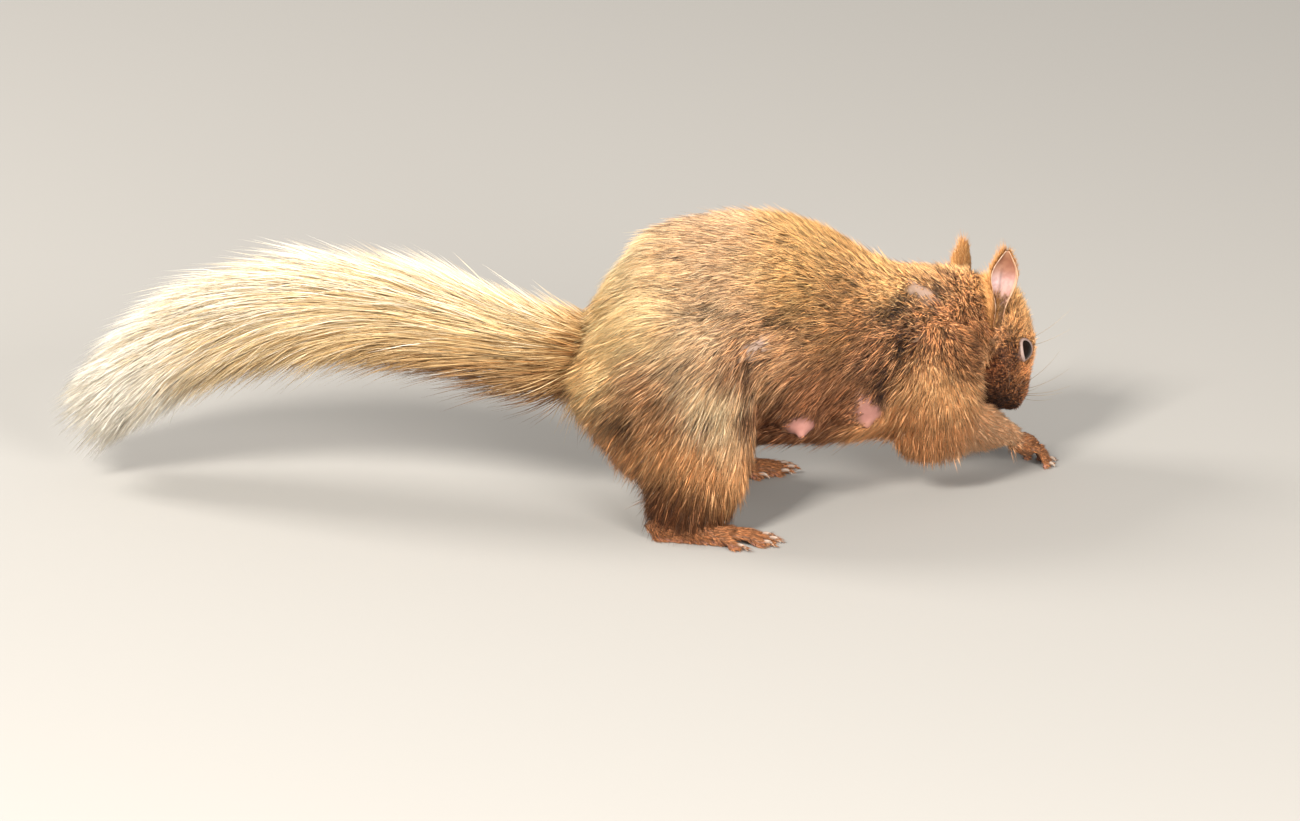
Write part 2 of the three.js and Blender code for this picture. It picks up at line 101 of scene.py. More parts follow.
# ---- tail bone --------------------------------------------------------------------------------
# The tail's bones and flesh are a thin tapering rod that leaves the rump level, rises a little
# and droops to the floor. It is a round bar along a curve, and the skin runs over it.

TAIL = np.array(
    [
        # x, y and z of the bone, and how far the hair reaches to its side, above and below it
        [-22, 0, 63, 13, 15, 20],
        [-46, 1, 66.5, 18, 19, 25],
        [-74, 5, 72, 22, 23, 25],
        [-102, 10, 76, 24, 25, 25],
        [-130, 16, 75, 26, 26, 26],
        [-156, 22, 67, 26, 26, 23],
        [-180, 28, 53, 23, 24, 18],
        [-199, 32, 37, 19, 20, 14],
        [-214, 35, 22, 13, 14, 10],
    ]
)
TAIL_PATH, TAIL_REACH = TAIL[:, :3], TAIL[:, 3:]
TAIL_BONE = {"root": 6.5, "tip": 1.8, "end": 0.86, "stations": 7}
UP = np.array([0.0, 0, 1])


def curve(points, t):
    """A Catmull-Rom curve through the points, whose ends run on straight, at shares t of its way."""
    p = np.asarray(points, float)
    p = np.vstack([2 * p[0] - p[1], p, 2 * p[-1] - p[-2]])
    s = np.clip(t, 0, 1) * (len(p) - 3)
    i = np.minimum(s.astype(int), len(p) - 4)
    f = (s - i)[..., None]
    a, b, c, d = p[i], p[i + 1], p[i + 2], p[i + 3]
    square, cube = 2 * a - 5 * b + 4 * c - d, 3 * b - a - 3 * c + d
    return 0.5 * (2 * b + (c - a) * f + square * f**2 + cube * f**3)


def upright(tangent):
    """The direction square to each tangent that is nearest to straight up."""
    return unit(UP - (tangent @ UP)[..., None] * tangent)


def swept(path, sizes, rings, around, cap):
    """A body round a curve through path: at share t each ring is an ellipse of half width, reach
    above and reach below, all times the square root of 1-(1-e)^2 within cap of either end."""
    t = np.linspace(0, 1, rings)
    middle, reach = curve(path, t), curve(sizes, t)
    tangent = unit(curve(path, t + 0.01) - curve(path, t - 0.01))
    up = upright(tangent)
    side = np.cross(tangent, up)
    end = np.clip(np.minimum(t, 1 - t) / cap, 0, 1)
    rounding = np.sqrt(np.maximum(1e-4, 1 - (1 - end) ** 2))[:, None, None]
    angle = np.linspace(0, 2 * np.pi, around, endpoint=False)
    tall = np.where(np.sin(angle) > 0, reach[:, 1:2], reach[:, 2:3])
    out = (
        side[:, None] * (np.cos(angle) * reach[:, :1])[..., None]
        + up[:, None] * (np.sin(angle) * tall)[..., None]
    )
    return middle[:, None] + out * rounding


def outward(verts, faces):
    """The faces, turned round if the solid that they close has a negative volume, which is the
    sum of a . (b x c) over their triangles."""
    filled = np.array([[*face, face[-1]][:4] for face in faces])
    a, b, c, d = (np.asarray(verts)[filled[:, k]] for k in range(4))
    volume = (a * (np.cross(b, c) + np.cross(c, d))).sum()
    return faces if volume > 0 else [face[::-1] for face in faces]


def quads_between(rings, around, closed=False):
    """Quads between each ring of a grid and the next, and in a closed one from last to first."""
    ring, step = np.meshgrid(np.arange(rings if closed else rings - 1), np.arange(around), indexing="ij")
    a, b = ring * around + step, ring * around + (step + 1) % around
    c, d = (a + around) % (rings * around), (b + around) % (rings * around)
    return np.stack([a, b, d, c], axis=-1).reshape(-1, 4).tolist()


def wrapped(points):
    """Closes a grid of rings, shape (rings, around, 3), into a solid: quads between the rings
    and a fan onto the middle of the first and last ring. Returns the vertices and faces."""
    rings, around = points.shape[:2]
    verts = np.vstack([points.reshape(-1, 3), points[0].mean(0), points[-1].mean(0)])
    first, top = rings * around, (rings - 1) * around
    j = np.arange(around)
    k = (j + 1) % around
    faces = quads_between(rings, around)
    faces += np.stack([k, j, np.full(around, first)], axis=1).tolist()
    faces += np.stack([top + j, top + k, np.full(around, first + 1)], axis=1).tolist()
    return verts, outward(verts, faces)


bone_line = curve(TAIL_PATH, np.linspace(0, TAIL_BONE["end"], TAIL_BONE["stations"]))
bone_radius = np.linspace(TAIL_BONE["root"], TAIL_BONE["tip"], TAIL_BONE["stations"])
bone, bone_faces = wrapped(swept(bone_line, np.stack([bone_radius] * 3, 1), 40, 16, 0.05))

# ---- skin: its shape --------------------------------------------------------------------------
# The hide of trunk, head, legs, feet and tail is one soft piece without seams. The flesh solids
# and the tail bone are joined, remeshed finely, thinned where the coat hides it, and smoothed,
# and the skin is drawn in under the coat by the coat's depth.

FLESH = ["torso", "neck", "head"]
FLESH += [f"{part}_{word}" for word in SIDES for part in ("haunch", "hind_foot", "foreleg", "forepaw")]
VOXEL = 0.0005
GROWN = 0.3 * MM  # closes the gaps between the solids
FINE_ROUND_HEAD = 33  # the skin stays fine so near to the head's middle
FINE_NEAR_FLOOR = 14  # and below this height
KEPT_FINE = 0.42
KEPT_COARSE = 0.5


def flesh():
    """The flesh solids, each grown along its normals, and the tail bone, as one list of faces
    with the number of the node that each face comes from; the bone's follows the last node's."""
    verts, faces, owner, count = [], [], [], 0
    for index, node in enumerate(FLESH):
        shell = bmesh.new()
        shell.from_mesh(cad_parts[node].data)
        bmesh.ops.remove_doubles(shell, verts=shell.verts, dist=1e-6)
        shell.normal_update()
        verts.append(np.array([v.co + v.normal * GROWN for v in shell.verts]))
        faces += [[count + v.index for v in face.verts] for face in shell.faces]
        owner += [index] * len(shell.faces)
        count += len(verts[-1])
        shell.free()
    faces += [[count + i for i in face] for face in bone_faces]
    owner += [len(FLESH)] * len(bone_faces)
    return np.vstack([*verts, placed(bone)]), faces, np.array(owner)


def finished(thing):
    """A new mesh of the object with its modifiers carried out."""
    graph = bpy.context.evaluated_depsgraph_get()
    return bpy.data.meshes.new_from_object(thing.evaluated_get(graph))


def vertices_of(mesh):
    """The places of a mesh's vertices."""
    places = np.empty(len(mesh.vertices) * 3)
    mesh.vertices.foreach_get("co", places)
    return places.reshape(-1, 3)


def remeshed(verts, faces):
    """The joined solids as one fine surface of triangles, coarser away from the head and feet."""
    mesh = bpy.data.meshes.new("flesh")
    mesh.from_pydata(verts.tolist(), [], faces)
    thing = bpy.data.objects.new("flesh", mesh)
    bpy.context.scene.collection.objects.link(thing)
    close = thing.modifiers.new("close", "REMESH")
    close.mode, close.voxel_size = "VOXEL", VOXEL
    fine = finished(thing)
    thing.modifiers.clear()
    thing.data = fine
    p = to_animal(vertices_of(fine))
    coarse = (np.linalg.norm(p - HEAD_AT, axis=1) > FINE_ROUND_HEAD) & (p[:, 2] > FINE_NEAR_FLOOR)
    thing.vertex_groups.new(name="coarse").add(np.flatnonzero(coarse).tolist(), 1.0, "REPLACE")
    for kept, group in ((KEPT_FINE, ""), (KEPT_COARSE, "coarse")):
        thin = thing.modifiers.new("thin", "DECIMATE")
        thin.ratio, thin.vertex_group, thin.use_collapse_triangulate = kept, group, True
    mesh = finished(thing)
    mesh.calc_loop_triangles()
    triangles = np.empty(len(mesh.loop_triangles) * 3, int)
    mesh.loop_triangles.foreach_get("vertices", triangles)
    bpy.data.objects.remove(thing)
    return vertices_of(mesh), triangles.reshape(-1, 3)


flesh_verts, flesh_faces, flesh_owner = flesh()
skin_at, skin_faces = remeshed(flesh_verts, flesh_faces)
flesh_tree = BVHTree.FromPolygons(flesh_verts.tolist(), flesh_faces)
skin_node = flesh_owner[[flesh_tree.find_nearest(Vector(p))[2] for p in skin_at.tolist()]]

edges = np.vstack([skin_faces[:, [k, (k + 1) % 3]] for k in range(3)])
edges = np.unique(np.sort(edges, axis=1), axis=0)
edges = np.vstack([edges, edges[:, ::-1]])
edges = edges[np.argsort(edges[:, 0], kind="stable")]
link_start = np.searchsorted(edges[:, 0], np.arange(len(skin_at)))
link_count = np.bincount(edges[:, 0], minlength=len(skin_at))


def spread(values, rounds, free=1.0):
    """Moves each vertex's value half way to the mean of its neighbours' a number of times; free
    is the share of the move that each vertex makes."""
    shape = (-1,) + (1,) * (values.ndim - 1)
    free = np.broadcast_to(free, len(values)).reshape(shape)
    for _ in range(rounds):
        mean = np.add.reduceat(values[edges[:, 1]], link_start, axis=0) / link_count.reshape(shape)
        values = values + (mean - values) * 0.5 * free
    return values


def normals_of(points):
    """Unit normals at the vertices: the sum of the faces' own, which are as long as their areas."""
    a, b, c = (points[skin_faces[:, k]] for k in range(3))
    face = np.cross(b - a, c - a)
    total = [
        sum(np.bincount(skin_faces[:, k], face[:, axis], len(points)) for k in range(3))
        for axis in range(3)
    ]
    return unit(np.stack(total, axis=1))


def of_node(*words, among=skin_node):
    """True where the skin comes from a node whose name holds one of the words."""
    wanted = [i for i, node in enumerate(FLESH) if any(word in node for word in words)]
    return np.isin(among, wanted)


def to_head(points):
    """The animal's millimetres in the head's own frame: the reach along each of its axes."""
    return (points - HEAD_AT) @ HEAD_AXES.T


def eye_frame(side):
    """The eye's place, and its axes: along the head, up over the eye, and out of the head."""
    out = unit([math.sin(EYE["lead"]), -side * math.cos(EYE["lead"]), math.sin(EYE["tilt"])])
    along = unit(np.array([1.0, 0, 0]) - out[0] * out)
    axes = np.array([along, np.cross(out, along), out])
    return in_head(on_side(side, EYE["at"])), axes @ HEAD_AXES


def smoothstep(low, high, value):
    """0 below low, 1 above high, and an S-shaped rise between them."""
    t = np.clip((value - low) / (high - low), 0, 1)
    return t * t * (3 - 2 * t)


def read_off(rows, at):
    """A table's values at places between its rows. A row holds a place and the value there, a
    number or several."""
    places, values = [row[0] for row in rows], np.array([row[1] for row in rows])
    if values.ndim == 1:
        return np.interp(at, places, values)
    return np.stack([np.interp(at, places, column) for column in values.T], axis=-1)


# Over the tail's root the rump slopes down to it under long hair, so the skin is drawn in there
# towards the tail's axis, by a share that grows to the rear and upwards. Behind the withers the
# back dips to the shoulders.
TAIL_AXIS = [(-33, 66), (0, 64)]  # x, and the axis's height there
RUMP_SLOPE = [(-34, 0.36), (-28, 0.34), (-21, 0.28), (-12, 0.13), (0, 0)]  # x, and the share
SLOPE_FROM = (-6, 8)  # it sets in between these heights over the axis
DIP = {"x": 82, "wide": 19, "deep": 3.8, "from": (62, 86)}  # and the dip between these heights

on_tail = skin_node == len(FLESH)
animal = to_animal(skin_at)
above_axis = animal[:, 2] - read_off(TAIL_AXIS, animal[:, 0])
slope = read_off(RUMP_SLOPE, animal[:, 0])
slope *= smoothstep(*SLOPE_FROM, above_axis) * ~on_tail
animal[:, 1] *= 1 - slope
animal[:, 2] -= above_axis * slope
dip = DIP["deep"] * np.exp(-(((animal[:, 0] - DIP["x"]) / DIP["wide"]) ** 2))
animal[:, 2] -= dip * smoothstep(*DIP["from"], animal[:, 2]) * ~on_tail

# The joined solids are smoothed, less on the feet and the muzzle, and not at all at the eyes.
SMOOTHING = 16  # rounds of it
FOOT_SOFT, MUZZLE_FIRM = 0.3, 0.75
MUZZLE_FROM = (14, 20)  # x in the head's own frame
FIRM_ROUND_EYE = (6.2, 8.5)  # distances from the eye's middle

skin_at = placed(animal)
head_place = to_head(animal)
to_eye = np.minimum(*[np.linalg.norm(animal - eye_frame(side)[0], axis=1) for side in SIDES.values()])
is_head = of_node("head")
is_foot = of_node("hind_foot", "forepaw")
muzzle = smoothstep(*MUZZLE_FROM, head_place[:, 0]) * is_head
soft = np.where(is_foot, FOOT_SOFT, 1.0) * (1 - MUZZLE_FIRM * muzzle)
soft *= np.where(is_head, smoothstep(*FIRM_ROUND_EYE, to_eye), 1)
skin_at = spread(skin_at, SMOOTHING, soft)
animal = to_animal(skin_at)
head_place = to_head(animal)

# The coat's depth over each part, in millimetres. It thins out to the muzzle, round the eyes,
# down to the soles and on the teats' bare swellings, and is never a quarter of the flesh under
# it. It is deeper at the tail's root and in the fold between the upper arm and the chest.
DEPTHS = {"torso": 3.1, "neck": 2.9, "haunch": 3.0, "foreleg": 2.6, "hind_foot": 0.6, "forepaw": 0.4}
HEAD_DEPTH = [(-22, 4), (-4, 2.6), (12, 1.4), (22, 0.7), (27, 0.4)]  # x in its frame, depth
MOST_OF_FLESH = 0.22
THIN_ROUND_EYE = (5.5, 9)
TAIL_ROOT_DEEPER, TAIL_ROOT_FROM = 1.5, (-14, -31)
SOLE = 1.0  # the skin stays in place below this height
TEATS = np.array([[57, -13.0, 39.5], [82, -3, 40.5], [57, 43, 39.5], [82, 55, 40.5]])
TEAT_BARE, TEAT_THIN = 5.6, 12.6  # how far round a teat the skin is bare, and its coat thin
ARM_FOLD = [[92, 77], [98, 70], [99.5, 60], [94, 54], [89, 47], [87, 40]]  # its x and z
FOLD_WIDE, FOLD_DEEP = 2.4, 2.2
DEPTH_SMOOTHING = 12  # rounds of it
LOOK_FROM, THICK_UNKNOWN = 0.2, 0.05  # millimetres under the skin, and metres where no ray hits


def right_of(p, behind, ahead):
    """True for points on the right of a line along the trunk, whose y goes from behind at x = 40
    to ahead at x = 100."""
    return p[:, 1] < np.interp(p[:, 0], [40, 100], [behind, ahead])


def to_teat(p):
    """How far points are from the nearest teat."""
    return np.min([np.linalg.norm(p - teat, axis=1) for teat in TEATS], axis=0)


depth = np.zeros(len(skin_at))
for part, value in DEPTHS.items():
    depth[of_node(part)] = value
depth = np.where(is_head, read_off(HEAD_DEPTH, head_place[:, 0]), depth)
skin_normal = normals_of(skin_at)
skin_tree = BVHTree.FromPolygons(skin_at.tolist(), skin_faces.tolist())
starts = (skin_at - skin_normal * LOOK_FROM * MM).tolist()
hits = [skin_tree.ray_cast(Vector(p), -Vector(n))[3] for p, n in zip(starts, skin_normal.tolist())]
thickness = np.array([THICK_UNKNOWN if hit is None else hit for hit in hits]) / MM
depth += TAIL_ROOT_DEEPER * smoothstep(*TAIL_ROOT_FROM, animal[:, 0]) * of_node("torso")
fold_line = curve(ARM_FOLD, np.linspace(0, 1, 40))
to_fold = np.min(np.linalg.norm(animal[:, None, ::2] - fold_line[None], axis=2), axis=1)
in_fold = np.exp(-((to_fold / FOLD_WIDE) ** 2)) * right_of(animal, 5, 32)
depth += FOLD_DEEP * in_fold * of_node("torso", "foreleg")
depth = spread(np.minimum(depth, MOST_OF_FLESH * thickness), DEPTH_SMOOTHING)
depth *= np.where(is_head, smoothstep(*THIN_ROUND_EYE, to_eye), 1)
depth *= smoothstep(TEAT_BARE, TEAT_THIN, to_teat(animal))
depth *= animal[:, 2] >= SOLE
skin_at = skin_at - skin_normal * (depth * MM)[:, None]

# Skin inside the opening of the lids is moved out to its edge, so that the eyeball shows there.
# The opening is an almond: these are its reach to either corner, up and down from the eye's
# axis, and how far the lid's ring stands over the eyeball and is thick. Near the opening the skin
# is kept down to the eyeball's surface, which it leaves by a slope of 2.2.
LID = {"front": 4.9, "back": 4.3, "upper": 3.2, "lower": 3.0, "over": 0.25, "thick": 0.62}
NEAR_LID, LID_EDGE, LID_LEAVES = 1.7, 1.04, 1.12  # in reaches of the almond
LID_SLOPE = 2.2

animal = to_animal(skin_at)
for side in SIDES.values():
    place, axes = eye_frame(side)
    along, up, out = ((animal - place) @ axes.T).T
    wide = np.where(along > 0, LID["front"], LID["back"])
    tall = np.where(up > 0, LID["upper"], LID["lower"])
    across = np.hypot(along / wide, up / tall)
    near = (out > 0) & is_head & (across < NEAR_LID)
    grow = np.maximum(1, LID_EDGE / np.maximum(across, 0.05))
    along, up = along * grow, up * grow
    cover = np.sqrt(np.maximum((EYE["radius"] + 0.1) ** 2 - along**2 - up**2, 0.5))
    out = np.minimum(out, cover + LID_SLOPE * np.maximum(across - LID_LEAVES, 0))
    moved = place + np.stack([along, up, out], axis=1) @ axes
    animal = np.where(near[:, None], moved, animal)
skin_at = placed(animal)
skin_normal = normals_of(skin_at)
animal = to_animal(skin_at)
head_place = to_head(animal)

# ---- skin and coat: their markings ------------------------------------------------------------
# A pale golden back and rump, redder flanks and legs, dark-ticked shoulders, a dark muzzle and
# fox-red feet; the muzzle, cheeks, lower side and ankles are darker still by painted shade, and
# patches of painted shade lie in the creases by the arm and thigh. The same colours go on the
# skin and on the hair that grows from it.

MARKS = [
    # x and z of the mark's middle, how far it reaches, its colour, the share of black hairs in it
    ("back", 19, 114, 22, (0.47, 0.305, 0.175), 0.04),
    ("rump", -19, 86, 22, (0.94, 0.68, 0.34), 0.03),
    ("top of the rump", -7, 104, 11, (1.0, 0.78, 0.46), 0.03),
    ("upper flank", 20, 84, 18, (0.47, 0.32, 0.19), 0.10),
    ("loin", 45, 72, 12, (0.50, 0.28, 0.14), 0.16),
    ("withers", 68, 105, 20, (0.41, 0.24, 0.09), 0.08),
    # the side's dark brown is partly its own and partly painted shade, darker down the trunk's side
    ("side", 73, 80, 15, (0.19, 0.09, 0.036), 0.18),
    ("crest", 113, 85, 8, (0.98, 0.66, 0.30), 0.10),
    ("nape", 98, 87, 11, (0.80, 0.48, 0.20), 0.16),
    ("shoulder", 106, 70, 12, (0.42, 0.205, 0.088), 0.42),
    ("neck", 118, 73, 11, (0.54, 0.245, 0.095), 0.42),
    ("behind the ear", 127, 78, 5, (0.98, 0.58, 0.22), 0.06),
    ("side of the neck", 118, 61, 5.5, (0.22, 0.09, 0.035), 0.35),
    ("behind the shoulder", 84, 77, 7, (0.19, 0.085, 0.036), 0.2),
    ("behind the arm", 88, 60, 10, (0.23, 0.11, 0.052), 0.28),
    ("upper arm", 110, 46, 10, (1.0, 0.57, 0.26), 0.08),
    ("elbow", 108, 31, 14, (0.88, 0.43, 0.185), 0.07),
    ("top of the thigh", 0, 59, 13, (0.35, 0.17, 0.08), 0.10),
    ("thigh", 27, 54, 8.5, (1.0, 0.77, 0.48), 0.02),
    # the front of the thigh and the hollow before it are darkened as painted shade along the thigh's front
    # edge
    ("front of the thigh", 41, 51, 3.5, (0.32, 0.14, 0.06), 0.14),
    ("hollow before the thigh", 37, 68, 5, (0.20, 0.083, 0.036), 0.20),
    ("knee", 15, 40, 13, (0.98, 0.52, 0.23), 0.05),
    # the ankle is the leg's red-brown darkened by painted shade at the foot of the leg
    ("ankle", 11, 23, 11, (0.13, 0.045, 0.018), 0.08),
    ("buttock", -19, 37, 13, (0.60, 0.29, 0.12), 0.12),
    # the belly's dark brown is partly its own and partly painted shade of the trunk's underside
    ("belly", 65, 54, 14, (0.25, 0.107, 0.049), 0.12),
    ("tail root", -31, 70, 9, (0.64, 0.32, 0.10), 0.04),
    ("forearm", 135, 23, 16, (1.0, 0.59, 0.33), 0.0),
]
HEAD_MARKS = [
    # x, size of y, and z in the head's own frame, reach, colour, share of black hairs
    ("back of the head", -16, 6, 12, 11, (0.92, 0.56, 0.24), 0.14),
    ("nape side of the ear", -15, 15, -3, 8, (0.74, 0.40, 0.15), 0.28),
    ("ear root", -12, 15, -11, 5, (0.70, 0.40, 0.16), 0.05),
    ("below the ear", -8, 16, -4, 4, (0.28, 0.115, 0.043), 0.3),
    ("before the ear", -12, 15, 5, 5, (0.26, 0.11, 0.04), 0.35),
    ("forehead", 4, 4, 15, 9, (0.98, 0.62, 0.36), 0.07),
    ("temple", 0, 12, 8, 6, (0.70, 0.37, 0.15), 0.18),
    # the cheek's near-black is the face's dark brown fur darkened further by painted shade
    ("cheek", 0, 15, -6, 8, (0.092, 0.030, 0.009), 0.34),
    ("side of the nose", 12, 9, 3, 7, (0.50, 0.21, 0.07), 0.24),
    # the jaw, lips and tip of the nose are dark of their own and darker still by painted shade on the
    # underside of the hanging head
    ("jaw", 10, 9, -9, 8, (0.19, 0.07, 0.028), 0.42),
    ("lips", 20, 4, -7, 8, (0.022, 0.009, 0.004), 0.5),
    ("bridge of the nose", 20, 5, 2, 5, (0.22, 0.08, 0.03), 0.35),
    ("tip of the nose", 26, 0, 3, 4, (0.12, 0.05, 0.028), 0.4),
]
HIND_FOOT_RED = (0.32, 0.135, 0.056)
FOREPAW_BROWN = (0.36, 0.15, 0.06)
# Painted shade in the skin's creases and folds: behind the arm, round the thigh, over the flank and at the
# neck.
PAINTED_SHADE_PATCHES = [
    # x and z of a patch of painted shade in a crease or fold, its reach in each, and how much darker it is
    (-7.6, 52, 2.4, 6, 0.65),
    (7.6, 60.5, 2.0, 3, 0.6),
    (50, 84, 8, 3.0, 0.75),
    (24, 89, 9, 2.2, 0.5),
    (39, 53, 1.8, 10, 0.55),
    (39, 69, 2.2, 4, 0.55),
    (94, 76, 7, 3.2, 0.9),
    (98.8, 64, 2.6, 9, 0.93),
    (91, 55, 3.2, 5, 0.85),
    (88, 48, 2.4, 7, 0.8),
    (96, 79, 3.4, 2.4, 0.85),
    (110.5, 77.5, 3.0, 2.6, 0.8),
]
PAINTED_SHADE_ON_LEFT = 0.45  # how strong the dark patches are on the left
WANDER, WANDER_SIZE = 12, 17  # the marks' edges wander by half of it either way
STREAK, STREAK_SIZE = 0.35, 5  # the share of black hairs that a streak adds
STREAK_STRETCH, STREAK_WHERE = [0.35, 0.8, 1.0], (0.72, 0.9)  # how it runs, the noise it needs
STREAK_ABOVE = 40
CLUMP_SIZES, CLUMP_SHARES, CLUMP_MIDDLE = (3.3, 1.5), (0.7, 0.9), 0.8
CLUMPS_IN_ALL, CLUMPS_IN_BLACK, BLACK_COUNTED = 0.5, 1.5, 0.4
FOOT_LESS_BLACK, PATCH_BLACK, MOST_BLACK = 0.8, 0.3, 0.7
PATCH_WANDER = 6
BARE_PINK = (0.30, 0.14, 0.115)
BARE_RAGGED = 2.4  # the size of the noise on a bare spot's edge
TEAT_RAGGED, TEAT_EDGE = 3.0, (-2, 2.5)  # millimetres, the second about TEAT_BARE
SPOT_RAGGED, SPOT_EDGE = 0.7, (0.5, 1.25)  # in reaches of the spot
BARE_SPOTS = [
    # x and z, reach along and up, turn, how bare, colour
    ((42.5, 74.5), (9.0, 4.8), 0.3, 0.76, (0.34, 0.25, 0.205)),
    ((103, 82), (9.0, 4.6), -0.75, 0.8, (0.40, 0.29, 0.235)),
    ((80.5, 48), (4.0, 8.0), 0.2, 0.55, (0.38, 0.20, 0.17)),
    ((52.4, 52), (1.4, 1.4), 0.0, 0.9, (0.42, 0.16, 0.05)),
]


def lattice_noise(points, size, seed):
    """Smooth noise from 0 to 1: random values at the corners of a lattice of cubes, mixed by the
    S-shaped share of the way across each cube."""
    table = np.random.default_rng(seed).random((32, 32, 32))
    q = points / size
    base = np.floor(q).astype(int)
    f = q - base
    f = f * f * (3 - 2 * f)
    total = 0
    for corner in np.ndindex(2, 2, 2):
        weight = np.prod(np.where(corner, f, 1 - f), axis=1)
        i, j, k = ((base + corner) % 32).T
        total = total + weight * table[i, j, k]
    return total


def folded_head(p):
    """Points in the head's own frame, with its right side folded onto its left."""
    h = to_head(p)
    h[:, 1] = abs(h[:, 1])
    return h


def blended(points, marks):
    """Colour and black share at points from marks: each weighs exp(-(distance/reach)^2)."""
    weight = np.stack(
        [np.exp(-(((points - place) / reach) ** 2).sum(1)) + 1e-6 for _, *place, reach, _, _ in marks],
        axis=1,
    )
    weight /= weight.sum(1, keepdims=True)
    return weight @ np.array([m[-2] for m in marks]), weight @ np.array([m[-1] for m in marks])


def markings(p, headness, footness, pawness):
    """The coat's colour and its share of black hairs at points in the animal's millimetres. The
    marks' edges wander by up to 6 mm, streaks of black hairs run along the trunk, clumps are
    e^(noise) times lighter or darker, most where hairs are black, and patches of painted shade
    darken the creases by the arm and thigh and add black hairs there."""
    wander = np.stack([lattice_noise(p, WANDER_SIZE, seed) for seed in (1, 2)], axis=1) - 0.5
    colour, black = blended(p[:, [0, 2]] + wander * WANDER, MARKS)
    face, face_black = blended(folded_head(p), HEAD_MARKS)
    colour = colour + (face - colour) * headness[:, None]
    black = black + (face_black - black) * headness
    for share, shade in ((footness, HIND_FOOT_RED), (pawness, FOREPAW_BROWN)):
        colour = colour + (np.array(shade) - colour) * share[:, None]
        black = black * (1 - FOOT_LESS_BLACK * share)
    streak = smoothstep(*STREAK_WHERE, lattice_noise(p * STREAK_STRETCH, STREAK_SIZE, 4))
    black = black + STREAK * streak * (p[:, 2] > STREAK_ABOVE) * (1 - headness)
    wide, fine = (lattice_noise(p, size, seed) for size, seed in zip(CLUMP_SIZES, (6, 7)))
    clumps = CLUMP_SHARES[0] * wide + CLUMP_SHARES[1] * fine - CLUMP_MIDDLE
    strength = PAINTED_SHADE_ON_LEFT + (1 - PAINTED_SHADE_ON_LEFT) * right_of(p, 8, 38)
    dark = np.zeros(len(p))
    # the painted shade of the creases darkens the colour and adds black hairs there
    for x, z, wide, tall, how in PAINTED_SHADE_PATCHES:
        off = np.hypot((p[:, 0] + PATCH_WANDER * wander[:, 0] - x) / wide, (p[:, 2] - z) / tall)
        dark = np.maximum(dark, how * np.exp(-(off**2)) * (1 - headness) * strength)
    how_clumped = CLUMPS_IN_ALL + CLUMPS_IN_BLACK * np.clip(black, 0, BLACK_COUNTED)
    tone = np.exp(how_clumped * clumps) * (1 - dark)
    return colour * tone[:, None], np.clip(black + PATCH_BLACK * dark, 0, MOST_BLACK)


def bareness(p):
    """How bare the skin is at points, and the bare skin's colour there: on and round the teats,
    and in worn spots of the right side, with ragged edges."""
    off = to_teat(p) + TEAT_RAGGED * (lattice_noise(p, BARE_RAGGED, 9) - 0.5)
    bare = 1 - smoothstep(TEAT_BARE + TEAT_EDGE[0], TEAT_BARE + TEAT_EDGE[1], off)
    colour = np.broadcast_to(BARE_PINK, p.shape)
    for place, reach, turn, most, shade in BARE_SPOTS:
        c, s = math.cos(turn), math.sin(turn)
        off = (p[:, [0, 2]] - place) @ np.array([[c, -s], [s, c]]) / reach
        ragged = SPOT_RAGGED * (lattice_noise(p, BARE_RAGGED, 8) - 0.5)
        off = np.linalg.norm(off, axis=1) + ragged
        here = most * (1 - smoothstep(*SPOT_EDGE, off)) * right_of(p, 0, 24)
        colour = np.where((here > bare)[:, None], shade, colour)
        bare = np.maximum(bare, here)
    return bare, colour


headness = spread(is_head.astype(float), 6)
footness = spread(of_node("hind_foot").astype(float), 3)
pawness = spread(of_node("forepaw").astype(float), 3)

# ---- skin: its finish -------------------------------------------------------------------------
# Skin under hair is dull brown; where it is bare it is pink or grey, finely wrinkled and a little
# damp. Round the eyes it is pale pink, and the soles and the toes' tips are darker pink. Its
# finish, like the others, is written as sums and products of sockets.


class Value:
    """A socket of a material's nodes, with the operators that the finishes use."""

    def __init__(self, nodes, socket):
        self.nodes, self.socket = nodes, socket

    def math(self, operation, first, second):
        """A Math node on two values, sockets or numbers."""
        return self.nodes.add("Math", {"operation": operation}, {0: first, 1: second})

    def __add__(self, other):
        return self.math("ADD", self, other)

    def __mul__(self, other):
        return self.math("MULTIPLY", self, other)

    def __sub__(self, other):
        return self.math("SUBTRACT", self, other)

    def __rsub__(self, other):
        return self.math("SUBTRACT", other, self)

    __radd__ = __add__
    __rmul__ = __mul__

    def between(self, low, high):
        """0 below low, 1 above high, smooth between them."""
        span = {"Value": self, "From Min": low, "From Max": high}
        return self.nodes.add("MapRange", {"interpolation_type": "SMOOTHSTEP"}, span)


